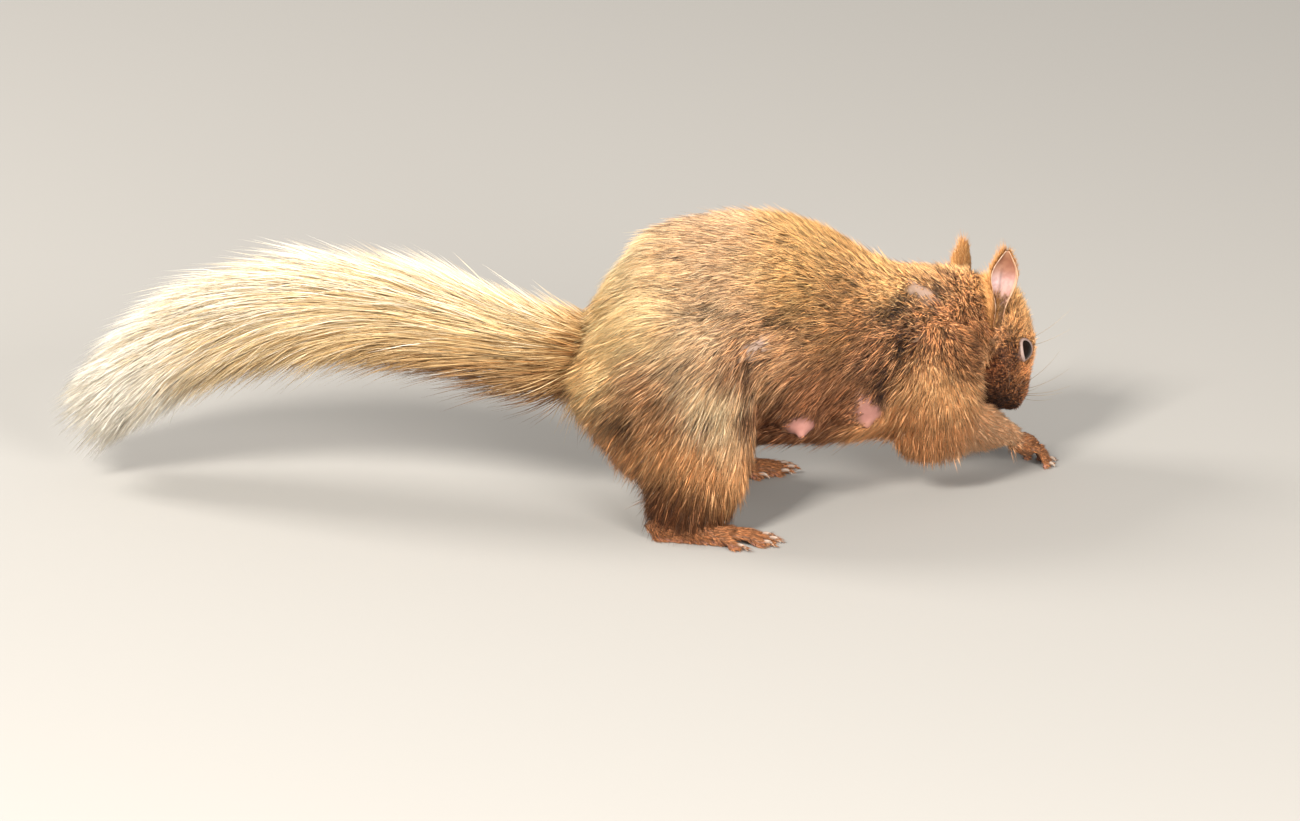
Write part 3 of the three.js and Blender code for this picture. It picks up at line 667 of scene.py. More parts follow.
class Finish:
    """A material whose Principled shader is fed by named sockets."""

    def __init__(self, name):
        self.material = bpy.data.materials.new(name)
        self.material.use_nodes = True
        self.tree = self.material.node_tree
        self.shader = self.tree.nodes["Principled BSDF"]

    def add(self, kind, settings, sockets, out=0):
        """A node of that kind: its settings first, then its sockets' values or links."""
        node = self.tree.nodes.new("ShaderNode" + kind)
        for key, setting in settings.items():
            setattr(node, key, setting)
        for key, value in sockets.items():
            self.feed(node.inputs[key], value)
        return Value(self, node.outputs[out])

    def feed(self, socket, value):
        """Links a Value to a socket, or sets the socket's own number or colour."""
        if isinstance(value, Value):
            self.tree.links.new(value.socket, socket)
        elif socket.type == "RGBA":
            socket.default_value = (*value, 1)
        else:
            socket.default_value = value

    def attribute(self, name, out="Fac"):
        """An attribute of the mesh, as a number or with out="Color" as a colour."""
        return self.add("Attribute", {"attribute_name": name}, {}, out)

    def noise(self, scale, detail):
        """Noise on the piece's own metres, of so many waves to the metre."""
        at = self.add("TexCoord", {}, {}, "Object")
        return self.add("TexNoise", {}, {"Vector": at, "Scale": scale, "Detail": detail}, "Fac")

    def mix(self, share, a, b, how="MIX"):
        """Colour a, with its share of colour b mixed in."""
        settings = {"data_type": "RGBA", "blend_type": how}
        return self.add("Mix", settings, {0: share, 6: a, 7: b}, 2)

    def times(self, a, b):
        """Colour a times colour b."""
        return self.mix(1.0, a, b, "MULTIPLY")

    def bump(self, height, strength, distance):
        """A normal bumped by the height, which stands up by so many metres."""
        return self.add("Bump", {}, {"Height": height, "Strength": strength, "Distance": distance})

    def shade(self, **sockets):
        """Feeds the Principled shader: base_color becomes its Base Color, and so on."""
        for key, value in sockets.items():
            self.feed(self.shader.inputs[key.replace("_", " ").title().replace("Ior", "IOR")], value)
        return self.material


def set_values(mesh, name, values):
    """Stores numbers or colours on the mesh's vertices as an attribute; colours get full alpha."""
    if values.ndim == 2:
        layer = mesh.attributes.new(name, "FLOAT_COLOR", "POINT")
        values = np.hstack([values, np.ones((len(values), 1))])
        layer.data.foreach_set("color", values.astype(np.float32).ravel())
    else:
        layer = mesh.attributes.new(name, "FLOAT", "POINT")
        layer.data.foreach_set("value", values.astype(np.float32).ravel())


def fixed(name, mesh, material):
    """The mesh as an object at the origin, riding on the animal's one body."""
    thing = bpy.data.objects.new(name, mesh)
    bpy.context.scene.collection.objects.link(thing)
    mesh.materials.append(material)
    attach(thing, "root")
    return thing


def piece(name, verts, faces, material):
    """A smooth piece from vertices in metres and faces."""
    mesh = bpy.data.meshes.new(name)
    mesh.from_pydata(np.asarray(verts).tolist(), [], faces)
    mesh.polygons.foreach_set("use_smooth", [True] * len(mesh.polygons))
    mesh.update()
    return fixed(name, mesh, material)


def tinted(colour, tint, share):
    """The colours, with each one's share of the tint mixed in."""
    return colour + (np.asarray(tint) - colour) * share[:, None]


hide = Finish("skin_under_coat")
wrinkle = hide.noise(900, 4) * 0.6 + hide.noise(3000, 2) * 0.4
mottle = hide.noise(260, 3).between(0.35, 0.7)
hide.shade(
    base_color=hide.mix(mottle * 0.35, hide.attribute("coat", "Color"), (0.6, 0.5, 0.48), "MULTIPLY"),
    roughness=0.62 - 0.12 * wrinkle,
    normal=hide.bump(wrinkle, 0.5, 0.0004),
    specular_ior_level=0.35,
)
UNDER_HAIR = 0.34  # the skin's colour is so much of its hair's
LID_PINK, LID_PINK_TO = (0.26, 0.15, 0.12), (5.7, 7.0)  # distances from the eye's middle
SOLE_PINK, SOLE_PINK_TO = (0.36, 0.17, 0.12), (1.0, 3.2)  # heights over the floor

skin_colour = markings(animal, headness, footness, pawness)[0] * UNDER_HAIR
bare, bare_colour = bareness(animal)
skin_colour = tinted(skin_colour, LID_PINK, (1 - smoothstep(*LID_PINK_TO, to_eye)) * is_head)
skin_colour = tinted(skin_colour, bare_colour, bare)
low_on_foot = (footness + pawness) * (1 - smoothstep(*SOLE_PINK_TO, animal[:, 2]))
skin_colour = tinted(skin_colour, SOLE_PINK, np.clip(low_on_foot, 0, 1))
skin = piece("skin", skin_at, skin_faces.tolist(), hide.material)
set_values(skin.data, "coat", skin_colour)
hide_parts("tail", *FLESH)

# ---- coat: its lie ----------------------------------------------------------------------------
# Hair grows out of the skin at a slant. It lies from the nose over the head and along the back to
# the tail, and down the flanks and legs to the toes.

SPINE = np.array([[-33, 0, 62], [0, 1, 66], [38, 8, 70.5], [76, 24, 60], [111, 42, 52], [131, 50, 50]])
DOWNWARD = [(-30, 0.02), (-5, 0.3), (20, 0.95), (40, 0.7)]  # how far below the spine, how steep
HAUNCH_LIE = [
    # height, and the lie there
    (5, (-0.22, 0, -1.0)),
    (40, (-0.5, 0, -0.85)),
    (70, (-0.8, 0, -0.6)),
    (95, (-1.0, 0, -0.25)),
]
NECK_LIE = [-0.5, -0.2, -0.8]
UPPER_ARM_LIE = np.array([-0.12, 0, -1.0])
FOREARM_LIE, FOREARM_FROM = unit([0.75, 0.58, -0.3]) + [0, 0, -0.35], (110, 130)
HEAD_LIE = np.array([-1.0, 0, -0.3]) @ HEAD_AXES
FOOT_TURN = {"hind_foot_right": -0.13, "hind_foot_left": 0.22, "forepaw_right": 0.6, "forepaw_left": 0.5}
TAIL_ROOT = np.array([-31, 0, 66])

spine_line = curve(SPINE, np.linspace(0, 1, 60))
nearest = np.argmin(((animal[:, None, ::2] - spine_line[None, :, ::2]) ** 2).sum(-1), axis=1)
backward = -unit(np.gradient(spine_line, axis=0))[nearest]
below_spine = spine_line[nearest, 2] - animal[:, 2]
lie = backward - UP * read_off(DOWNWARD, below_spine)[:, None]
height = animal[:, 2]
lie = np.where(of_node("haunch")[:, None], read_off(HAUNCH_LIE, height), lie)
lie = np.where(of_node("neck")[:, None], NECK_LIE, lie)
reach_out = smoothstep(*FOREARM_FROM, animal[:, 0])[:, None]
arm_lie = UPPER_ARM_LIE * (1 - reach_out) + FOREARM_LIE * reach_out
lie = np.where(of_node("foreleg")[:, None], arm_lie, lie)
lie = np.where(is_head[:, None], HEAD_LIE, lie)
for node, turn in FOOT_TURN.items():
    lie = np.where(of_node(node)[:, None], [math.cos(turn), math.sin(turn), -0.25], lie)

# Round the tail's root the rump's hair turns along the tail, inwards above it and down below.
ROOT_HAIR_TO = (12, 30)  # distances from the root's middle
COLLAR_IN, COLLAR_IN_FROM, COLLAR_DOWN_FROM = 0.8, (-12, 4), (2, -10)  # heights over the root
LIE_SMOOTHING = 30
tail_line = curve(TAIL_PATH, np.linspace(0, 1, 60))
tail_way = unit(curve(TAIL_PATH, np.linspace(0.02, 1, 60)) - curve(TAIL_PATH, np.linspace(0, 0.98, 60)))
from_root = animal - TAIL_ROOT
root_share = (1 - smoothstep(*ROOT_HAIR_TO, np.linalg.norm(from_root, axis=1))) * of_node("torso")
inward = -unit(from_root - (from_root @ tail_way[0])[:, None] * tail_way[0])
collar = tail_way[0] + COLLAR_IN * inward * smoothstep(*COLLAR_IN_FROM, from_root[:, 2])[:, None]
collar -= UP * smoothstep(*COLLAR_DOWN_FROM, from_root[:, 2])[:, None]
lie = lie + (collar - lie) * root_share[:, None]
tail_near = np.argmin(((animal[on_tail, None] - tail_line[None]) ** 2).sum(-1), axis=1)
lie[on_tail] = tail_way[tail_near]


def along_skin(directions, normals):
    """Directions turned into the surface: less their part along the normal, at unit length."""
    return unit(directions - (directions * normals).sum(-1, keepdims=True) * normals)


lie = along_skin(unit(spread(unit(lie), LIE_SMOOTHING)), skin_normal)

# On the neck, the shoulders and the back of the head the coat is short and stands ruffled.
# The pairs are heights and places ahead where it begins and is whole, or on the head its x.
RUFFLED_ARM, RUFFLED_HEAD, HEAD_RUFFLE = (40, 58), (6, -8), 0.6
SHOULDER_AHEAD, SHOULDER_ABOVE = (86, 102), (52, 62)

shoulder = smoothstep(*SHOULDER_AHEAD, animal[:, 0]) * smoothstep(*SHOULDER_ABOVE, height)
ruffle = np.maximum(of_node("neck"), of_node("foreleg") * smoothstep(*RUFFLED_ARM, height))
ruffle = np.maximum(ruffle, is_head * smoothstep(*RUFFLED_HEAD, head_place[:, 0]) * HEAD_RUFFLE)
ruffle = spread(np.maximum(ruffle, of_node("torso") * shoulder), 12)

# ---- coat: its hair ---------------------------------------------------------------------------
# Hair grows in small tufts of fine tapering strands, each a thin solid with its root in the skin.
# Strands of one tuft share a lean and draw together towards its tip.

COATS = {
    # part: strands, strands in a tuft, rings, length, width, lift, tuft radius in mm, sway
    "torso": (82000, 4, 1, 8.8, 0.42, 0.28, 1.0, 0.17),
    "neck": (17000, 3, 1, 5.6, 0.40, 0.46, 0.8, 0.45),
    "haunch": (52000, 4, 1, 9.6, 0.42, 0.27, 1.0, 0.16),
    "foreleg": (33000, 4, 1, 7.2, 0.39, 0.29, 0.9, 0.17),
    "head": (38000, 3, 1, 4.2, 0.38, 0.52, 0.5, 0.38),
    "hind_foot": (13000, 3, 1, 2.9, 0.28, 0.2, 0.45, 0.14),
    "forepaw": (7000, 3, 1, 2.1, 0.24, 0.18, 0.35, 0.14),
}
GUARDS = {
    "torso": (9000, 3, 2, 11.5, 0.38, 0.30, 1.5, 0.14),
    "neck": (1500, 3, 2, 7.5, 0.36, 0.42, 1.3, 0.4),
    "haunch": (6000, 3, 2, 12.2, 0.38, 0.27, 1.5, 0.13),
    "foreleg": (3600, 3, 2, 8.6, 0.33, 0.29, 1.3, 0.13),
}
SHARE = 1.0  # of the strands is grown
STRAND_FLAT = 0.6  # a strand is so thick for its width
SUNK = 0.35  # a root goes so far into the skin
FLOOR_CLEAR = 0.25  # and no strand comes nearer to the floor
BRIGHTEST = 0.92  # no hair's colour has more of red, green or blue
PATCH = 0.003  # a strand's width and height on the map OFBake

rng = np.random.default_rng(20)


def face_areas(rows):
    """The areas of some of the skin's faces: half the length of two edges' cross product."""
    a, b, c = (skin_at[skin_faces[rows, k]] for k in range(3))
    return np.linalg.norm(np.cross(b - a, c - a), axis=1) / 2


def sown(faces_wanted, count, density):
    """Roots spread evenly by area times density: evenly spaced steps along the running total over
    the faces, each at a random place in its face. Returns face rows and their corner shares."""
    rows = np.flatnonzero(faces_wanted)
    total = np.cumsum(face_areas(rows) * density[skin_faces[rows]].mean(1))
    pick = np.searchsorted(total, (np.arange(count) + rng.random(count)) / count * total[-1])
    rows = rows[np.minimum(pick, len(rows) - 1)]
    r, s = np.sqrt(rng.random(count)), rng.random(count)
    return skin_faces[rows], np.stack([1 - r, r * (1 - s), r * s], axis=1)


def at_roots(values, corners, shares):
    """A vertex value at the roots: the corners' values times their shares."""
    if values.ndim == 1:
        return (values[corners] * shares).sum(1)
    return (values[corners] * shares[..., None]).sum(1)


def strand_mesh(name, centres, widths, normal, colour, chance, patch, material):
    """Strands as one mesh. centres is (strands, rings + 1, 3): a three-sided ring at each centre
    but the last, which is the tip. patch is each root's place on the unwrapped skin."""
    count, stops = centres.shape[:2]
    rings = stops - 1
    tangent = unit(np.gradient(centres, axis=1))
    side = unit(np.cross(tangent, normal[:, None]))
    up = np.cross(side, tangent)
    angle = np.radians([90, 210, 330])[:, None]
    section = np.cos(angle) * side[:, :rings, None] + STRAND_FLAT * np.sin(angle) * up[:, :rings, None]
    ring = centres[:, :rings, None] + widths[:, :, None, None] * section / 2
    verts = np.concatenate([ring.reshape(count, -1, 3), centres[:, -1:]], axis=1)
    each, last = rings * 3 + 1, 3 * (rings - 1)
    around = [(j, (j + 1) % 3) for j in range(3)]
    faces = [(k + a, k + b, k + 3 + b, k + 3 + a) for k in range(0, last, 3) for a, b in around]
    faces += [(last + a, last + b, each - 1) for a, b in around] + [(2, 1, 0)]
    faces = outward(verts[0] - verts[0].mean(0), faces)
    loops = (np.arange(count)[:, None] * each + np.concatenate(faces)).ravel()
    sizes = np.tile([len(face) for face in faces], count)

    mesh = bpy.data.meshes.new(name)
    mesh.vertices.add(count * each)
    mesh.vertices.foreach_set("co", verts.astype(np.float32).ravel())
    mesh.loops.add(len(loops))
    mesh.loops.foreach_set("vertex_index", loops.astype(np.int32))
    mesh.polygons.add(len(sizes))
    mesh.polygons.foreach_set("loop_start", (np.cumsum(sizes) - sizes).astype(np.int32))
    mesh.polygons.foreach_set("loop_total", sizes.astype(np.int32))
    mesh.polygons.foreach_set("use_smooth", np.ones(len(sizes), bool))
    mesh.update(calc_edges=True)

    if colour.ndim == 2:
        colour = np.repeat(colour[:, None], stops, axis=1)
    colour = np.concatenate([np.repeat(colour[:, :rings], 3, axis=1), colour[:, -1:]], axis=1)
    along = np.append(np.repeat(np.arange(rings), 3) / rings, 1.0)
    set_values(mesh, "coat", colour.reshape(-1, 3))
    set_values(mesh, "along", np.tile(along, count))
    set_values(mesh, "chance", np.repeat(chance, each))
    corner = np.append(np.tile([0.0, 0.5, 1.0], rings), 0.5)
    uv = patch[:, None] + PATCH * np.stack([corner, along], axis=1)
    layer = mesh.uv_layers.new(name="OFBake")
    layer.data.foreach_set("uv", uv.reshape(-1, 2)[loops].astype(np.float32).ravel())
    return fixed(name, mesh, material)


def on_map(u, v):
    """Places on the map OFBake from shares 0 to 1 of its width and height, kept off its edges by
    more than a patch."""
    return 0.005 + np.stack([u, v], axis=1) * 0.985


def unwrap(p, axis, middle):
    """The skin's own unwrap round a part: the angle about its axis, and the way along it."""
    axis = unit(axis)
    across = unit(np.cross(axis, [0.31, 0.91, 0.27]))
    off = p - middle
    u = np.arctan2(off @ across, off @ np.cross(axis, across)) / (2 * np.pi) + 0.5
    v = off @ axis
    return on_map(u, (v - v.min()) / (np.ptp(v) + 1e-9))


def hair_finish(name, root, tip):
    """Hair: the strand's own colour times root near the skin, rising to it half way along and
    going on to its colour times tip; the darker root is painted shade of the coat's depth. It
    shines a little, and each strand a little differently."""
    hair = Finish(name)
    own, along = hair.attribute("coat", "Color"), hair.attribute("along")
    rooted = hair.mix(along.between(0.0, 0.55), hair.times(own, root), own)
    tipped = hair.mix(along.between(0.55, 1.0) * 0.5, rooted, hair.times(rooted, tip))
    roughness = 0.62 - 0.18 * hair.attribute("chance")
    return hair.shade(base_color=tipped, roughness=roughness, specular_ior_level=0.28)


# the darker roots paint the shade deep in the coat
BODY_HAIR = hair_finish("body_hair", (0.32, 0.21, 0.13), (1.42, 1.36, 1.26))

# How long the hair is at each vertex of the skin, as a share of its part's length, how steeply
# it lifts, and how densely it grows. It is short on the face, down the legs and near bare skin,
# longer over the tail's root and at the ears' feet, and the soles have next to none.
HEAD_HAIR = [(-20, 1.7), (-5, 1.2), (10, 0.85), (22, 0.55), (28, 0.35)]  # x in its frame, share
HAUNCH_HAIR = [(6, 0.75), (14, 1.15), (30, 1.0)]  # height, share
FORELEG_HAIR = [(5, 0.45), (22, 1.0)]
WRIST_SHORTER, WRIST_FROM = 0.4, (122, 138)
EYE_HAIR, EYE_HAIR_FROM, NO_HAIR_TO = 0.35, (6, 11), (5.5, 6.8)  # distances from its middle
EAR_FOOT, EAR_FOOT_REACH = [-6, 13.6, -6.5], 5.5
ROOT_LONGER, RUFFLE_SHORTER, EAR_LONGER, BARE_SHORTER = 0.7, 0.4, 0.9, 0.6
ROOT_STEEPER, RUFFLE_STEEPER, EAR_STEEPER = 1.2, 0.5, 0.6
TEAT_NEAR, TEAT_NO_HAIR, TEAT_FULL_HAIR, TEAT_LEAST = 18, 4.0, 12.5, 0.2
SOLE_FACING, SOLE_HAIR = -0.35, 0.05

hair_length = np.ones(len(skin_at))
hair_length *= np.where(is_head, read_off(HEAD_HAIR, head_place[:, 0]), 1)
by_eye = EYE_HAIR + (1 - EYE_HAIR) * smoothstep(*EYE_HAIR_FROM, to_eye)
hair_length *= np.where(is_head, by_eye, 1)
hair_length *= np.where(of_node("haunch"), read_off(HAUNCH_HAIR, height), 1)
hair_length *= np.where(of_node("foreleg"), read_off(FORELEG_HAIR, height), 1)
hair_length *= 1 - WRIST_SHORTER * of_node("foreleg") * smoothstep(*WRIST_FROM, animal[:, 0])
hair_length = spread(hair_length, 5)
from_ear = np.linalg.norm(folded_head(animal) - EAR_FOOT, axis=1)
by_ear = np.exp(-((from_ear / EAR_FOOT_REACH) ** 2)) * is_head
hair_length *= 1 + ROOT_LONGER * root_share
hair_length *= 1 - RUFFLE_SHORTER * ruffle
hair_length *= 1 + EAR_LONGER * by_ear
by_teat = (to_teat(animal) - TEAT_NO_HAIR) / (TEAT_FULL_HAIR - TEAT_NO_HAIR)
by_teat = np.where(to_teat(animal) < TEAT_NEAR, np.maximum(TEAT_LEAST, by_teat), np.inf)
hair_length = np.minimum(hair_length, by_teat) * (1 - BARE_SHORTER * bare)
hair_lift = 1 + ROOT_STEEPER * root_share + RUFFLE_STEEPER * ruffle + EAR_STEEPER * by_ear
hair_density = (1 - smoothstep(0, 0.8, bare)) * np.where(is_head, smoothstep(*NO_HAIR_TO, to_eye), 1)
is_sole = (footness + pawness > 0.5) & (skin_normal[:, 2] < SOLE_FACING)
hair_density = np.clip(hair_density * np.where(is_sole, SOLE_HAIR, 1) * ~on_tail, 0.001, 1)


# How much strands differ, as the spread of a normal draw or the ends of an even one.
RISE_OF_TUFT, RISE_OF_STRAND = (0.75, 1.25), (0.75, 1.3)
LENGTH_OF_STRAND, WIDTH_OF_STRAND = (0.7, 1.18), (0.7, 1.25)
DRAWN_IN = (-0.25, 0.4)  # the share of its offset that a strand loses by its tip
TONE_OF_TUFT, TONE_OF_STRAND, TONE_OF_BLACK, CALM_IN_PALE = 0.22, 0.46, 0.7, 0.35
WARMTH, WARM_TINT = 0.12, [0.1, -0.6, -1.2]
BLACK_HAIR = [0.2, 0.17, 0.2]  # so much of its colour is left to a black hair
LOCK_SIZE, LOCK_SWAY, RUFFLE_SWAY = 9, 0.5, 1.4
TIP_WIDTH, TIP_SAG = 0.62, 0.06
FEWEST_TUFTS = 40
OWN_SWAY = 0.6  # a strand's own, as a share of its part's
RISE_POWER = 0.8  # a strand rises by its share of the way to this power
FULL_SUNK = 6  # strands shorter than this are sunk less
PALE_FROM = (0.55, 0.95)
DARKEST = 0.004


def limited(colour):
    """Colours brighter than BRIGHTEST in any channel, scaled down as a whole so that hue stays."""
    too_bright = np.maximum(1, colour.max(-1, keepdims=True) / BRIGHTEST)
    return np.maximum(colour / too_bright, DARKEST)


def grow_coat(name, faces_wanted, row, axis):
    """Hair over some of the skin's faces. A strand starts at its tuft's middle plus its own
    offset, runs along the lie for its length while it rises by the lift, and its offset shrinks
    towards the tip; its width tapers from the root to nothing."""
    strands, in_tuft, rings, longest, width, lift, radius, sway_by = row
    tufts = max(FEWEST_TUFTS, int(strands * SHARE / in_tuft))
    corners, shares = sown(faces_wanted, tufts, hair_density)
    root = at_roots(animal, corners, shares)
    normal = unit(at_roots(skin_normal, corners, shares))
    way = along_skin(at_roots(lie, corners, shares), normal)
    across = np.cross(normal, way)
    loose = 1 + RUFFLE_SWAY * at_roots(ruffle, corners, shares)[:, None]
    sway = rng.normal(0, sway_by, (tufts, 1)) * loose
    sway = sway + (lattice_noise(root, LOCK_SIZE, 11)[:, None] - 0.5) * LOCK_SWAY * loose
    way = unit(way + across * sway)
    length = at_roots(hair_length, corners, shares) * longest
    rise = lift * rng.uniform(*RISE_OF_TUFT, tufts) * at_roots(hair_lift, corners, shares)
    tuft_tone = np.exp(rng.normal(-0.01, TONE_OF_TUFT, tufts))

    pick = np.repeat(np.arange(tufts), in_tuft)
    count = len(pick)
    turn, far = rng.uniform(0, 2 * np.pi, count), np.sqrt(rng.random(count)) * radius
    offset = way[pick] * (np.cos(turn) * far)[:, None] + across[pick] * (np.sin(turn) * far)[:, None]
    start = root[pick] + offset
    long = (length[pick] * rng.uniform(*LENGTH_OF_STRAND, count))[:, None]
    own_way = unit(way[pick] + across[pick] * rng.normal(0, sway_by * OWN_SWAY, (count, 1)))
    own_rise = (rise[pick] * rng.uniform(*RISE_OF_STRAND, count))[:, None]
    draw = rng.uniform(*DRAWN_IN, count)[:, None]
    t = np.linspace(0, 1, rings + 1)
    up = own_rise * long * t**RISE_POWER - SUNK * (1 - t) * np.minimum(1, long / FULL_SUNK)
    centres = (
        root[pick][:, None]
        + offset[:, None] * (1 - draw * t)[..., None]
        + own_way[:, None] * (long * t)[..., None]
        + normal[pick][:, None] * up[..., None]
    )
    centres[..., 2] -= TIP_SAG * long * t**2
    centres[..., 2] = np.maximum(centres[..., 2], FLOOR_CLEAR)
    taper = np.linspace(1, TIP_WIDTH, rings)[None]
    widths = width * MM * taper * rng.uniform(*WIDTH_OF_STRAND, (count, 1))

    part_shares = [at_roots(part, corners, shares)[pick] for part in (headness, footness, pawness)]
    colour, black = markings(start, *part_shares)
    chance = rng.random(count)
    paleness = smoothstep(*PALE_FROM, colour.max(1))
    spread_by = (TONE_OF_STRAND + TONE_OF_BLACK * black) * (1 - CALM_IN_PALE * paleness)
    tone = tuft_tone[pick] * np.exp(rng.normal(-0.06, 1, count) * spread_by)
    warm = rng.normal(0, WARMTH, (count, 1))
    colour = colour * tone[:, None] * (1 + warm * WARM_TINT)
    is_black = rng.random(count) < black
    colour = limited(np.where(is_black[:, None], colour * BLACK_HAIR, colour))
    patch = unwrap(start, axis, root.mean(0))
    strand_mesh(name, placed(centres), widths, normal[pick], colour, chance, patch, BODY_HAIR)


# The trunk's coat is in four quarters, and each limb's in one piece. The axis is the one that a
# part's map is wrapped round.
BACKBONE = (1, 0.25, 0)
LIMBS = [
    ("haunch", "coat", UP),
    ("foreleg", "coat", UP),
    ("hind_foot", "foot_coat", (1, 0, 0)),
    ("forepaw", "foot_coat", (1, 0.5, 0)),
]

face_node = skin_node[skin_faces[:, 0]]
face_middle = animal[skin_faces].mean(1)
right_side = face_middle[:, 1] < np.interp(face_middle[:, 0], SPINE[:, 0], SPINE[:, 1])
ahead = face_middle[:, 0] > 40
torso = of_node("torso", among=face_node)
quarters = {
    "rump_right": right_side & ~ahead,
    "rump_left": ~right_side & ~ahead,
    "flank_right": right_side & ahead,
    "flank_left": ~right_side & ahead,
}
regions = []
for name, quarter in quarters.items():
    share = face_areas(torso & quarter).sum() / face_areas(torso).sum()
    regions.append((name, "torso", share, torso & quarter, "coat", BACKBONE))
regions.append(("neck", "neck", 1, of_node("neck", among=face_node), "coat", BACKBONE))
regions.append(("head", "head", 1, of_node("head", among=face_node), "face_coat", HEAD_FORWARD))
for word in SIDES:
    for part, slot, axis in LIMBS:
        name = f"{part}_{word}"
        regions.append((name, part, 0.5, of_node(name, among=face_node), slot, axis))

for name, part, share, wanted, slot, axis in regions:
    for layer, rows in (("coat", COATS), ("guard", GUARDS)):
        if part in rows:
            strands, *others = rows[part]
            grow_coat(f"{layer}_{name}", wanted, (int(strands * share), *others), axis)

# ---- tail plume -------------------------------------------------------------------------------
# Long hair fans out from the bone and sweeps back along it, brown-gold at the root and underneath,
# golden on its middle and cream on top and at the tip; the darker brown underneath is partly
# painted shade of the tail's lower side.

# its strands' roots go from first to last, as shares of the tail's way
PLUME = {"strands": 18000, "in_tuft": 7, "rings": 3, "width": 0.46, "first": -0.08, "last": 0.86, "parts": 3}
PLUME_FULLNESS = [(0, 0.9), (0.4, 0.86), (0.6, 0.98), (0.86, 1.06)]  # share of the way, and value
PLUME_LENGTH = [(0, 0.13), (0.12, 0.19), (0.5, 0.22), (0.85, 0.2)]
PLUME_STEEP = [(0, 0.5), (0.25, 0.88)]
PLUME_FROM = [(0, 0.3), (1, 0.1)]  # where a strand starts, as a share of the plume's reach
PLUME_WITHIN = (0.4, 1.16)  # no strand ends further in or out, in shares of the reach
PLUME_END, PLUME_SAG, PLUME_TAPER = 1.03, 1.2, np.array([[0.9, 1, 0.6]])
TAIL_TONES = [
    # how pale, and the colour
    (0.0, (0.25, 0.11, 0.033)),
    (0.35, (0.43, 0.27, 0.112)),
    (0.7, (0.68, 0.52, 0.30)),
    (1.0, (0.86, 0.80, 0.69)),
    (1.2, (0.92, 0.87, 0.77)),
]
# paler on top than underneath, partly as painted shade under the tail
TAIL_PALE = [
    # share of the tail's way, and how pale the hair is there underneath, on its side and on top
    (0.05, (0.0, 0.0, 0.25)),
    (0.15, (0.0, 0.4, 0.72)),
    (0.3, (0.1, 0.42, 0.8)),
    (0.5, (0.28, 0.58, 0.88)),
    (0.7, (0.4, 0.74, 0.86)),
    (0.84, (1.0, 1.12, 1.0)),
    (1.0, (1.15, 1.2, 1.12)),
]
# the brown darkens the underside near the root, partly as painted shade
TAIL_BROWN, BROWN_BELOW, BROWN_TO = np.array([0.18, 0.085, 0.035]), (-0.95, 0.0), (0.24, 0.42)
# how much the tail's strands differ
FAN_OF_TUFT, FAN_OF_STRAND, DRIFT, START_OF_STRAND = 0.13, 0.07, 0.16, 0.008
ANGLE_OF_STRAND, WIDTH_OF_TAIL_STRAND = 0.09, (0.65, 1.3)
REACH_OF_TUFT, REACH_OF_STRAND, REACH_AT_END = (0.8, 1.2), (0.7, 1.15), (0.7, 1.05)
PALE_OF_STRAND, TONE_OF_TAIL_STRAND, TONE_OF_TAIL_TUFT = 0.15, 0.2, 0.12
DARK_STRANDS, DARK_STRAND = 0.07, 0.45  # the share of them, and how dark
OVER_AT_ROOT, PALE_OUTWARD = 0.3, 0.5
# its darker roots paint the shade deep in the plume
TAIL_HAIR = hair_finish("tail_hair", (0.60, 0.47, 0.36), (1.25, 1.24, 1.22))


def tail_point(t, angle, share):
    """A point of the plume: the bone at share t of its way, then out at the angle, by the share
    of the plume's reach there. Past either end it runs straight on."""
    s = np.clip(t, 0, 1)
    reach = curve(TAIL_REACH, s)
    ahead, behind = curve(TAIL_PATH, np.clip(s + 0.01, 0, 1)), curve(TAIL_PATH, np.clip(s - 0.01, 0, 1))
    tangent = unit(ahead - behind)
    up = upright(tangent)
    tall = np.where(np.sin(angle) > 0, reach[..., 1], reach[..., 2])
    length = np.linalg.norm(np.diff(TAIL_PATH, axis=0), axis=1).sum()
    return (
        curve(TAIL_PATH, s)
        + tangent * ((t - s) * length)[..., None]
        + np.cross(up, tangent) * (np.cos(angle) * reach[..., 0] * share)[..., None]
        + up * (np.sin(angle) * tall * share)[..., None]
    )


def tail_colour(t, over, noise):
    """The hair's colour at share t of the tail's way, over from -1 underneath to 1 on top; it is
    darker and browner underneath, partly as painted shade.
    """
    low, middle, high = np.moveaxis(read_off(TAIL_PALE, t), -1, 0)
    pale = middle + np.where(over > 0, (high - middle) * over, (middle - low) * over) + noise
    colour = read_off(TAIL_TONES, pale)
    shade = (1 - smoothstep(*BROWN_BELOW, over)) * (1 - smoothstep(*BROWN_TO, t))
    return colour + (TAIL_BROWN - colour) * shade[..., None]


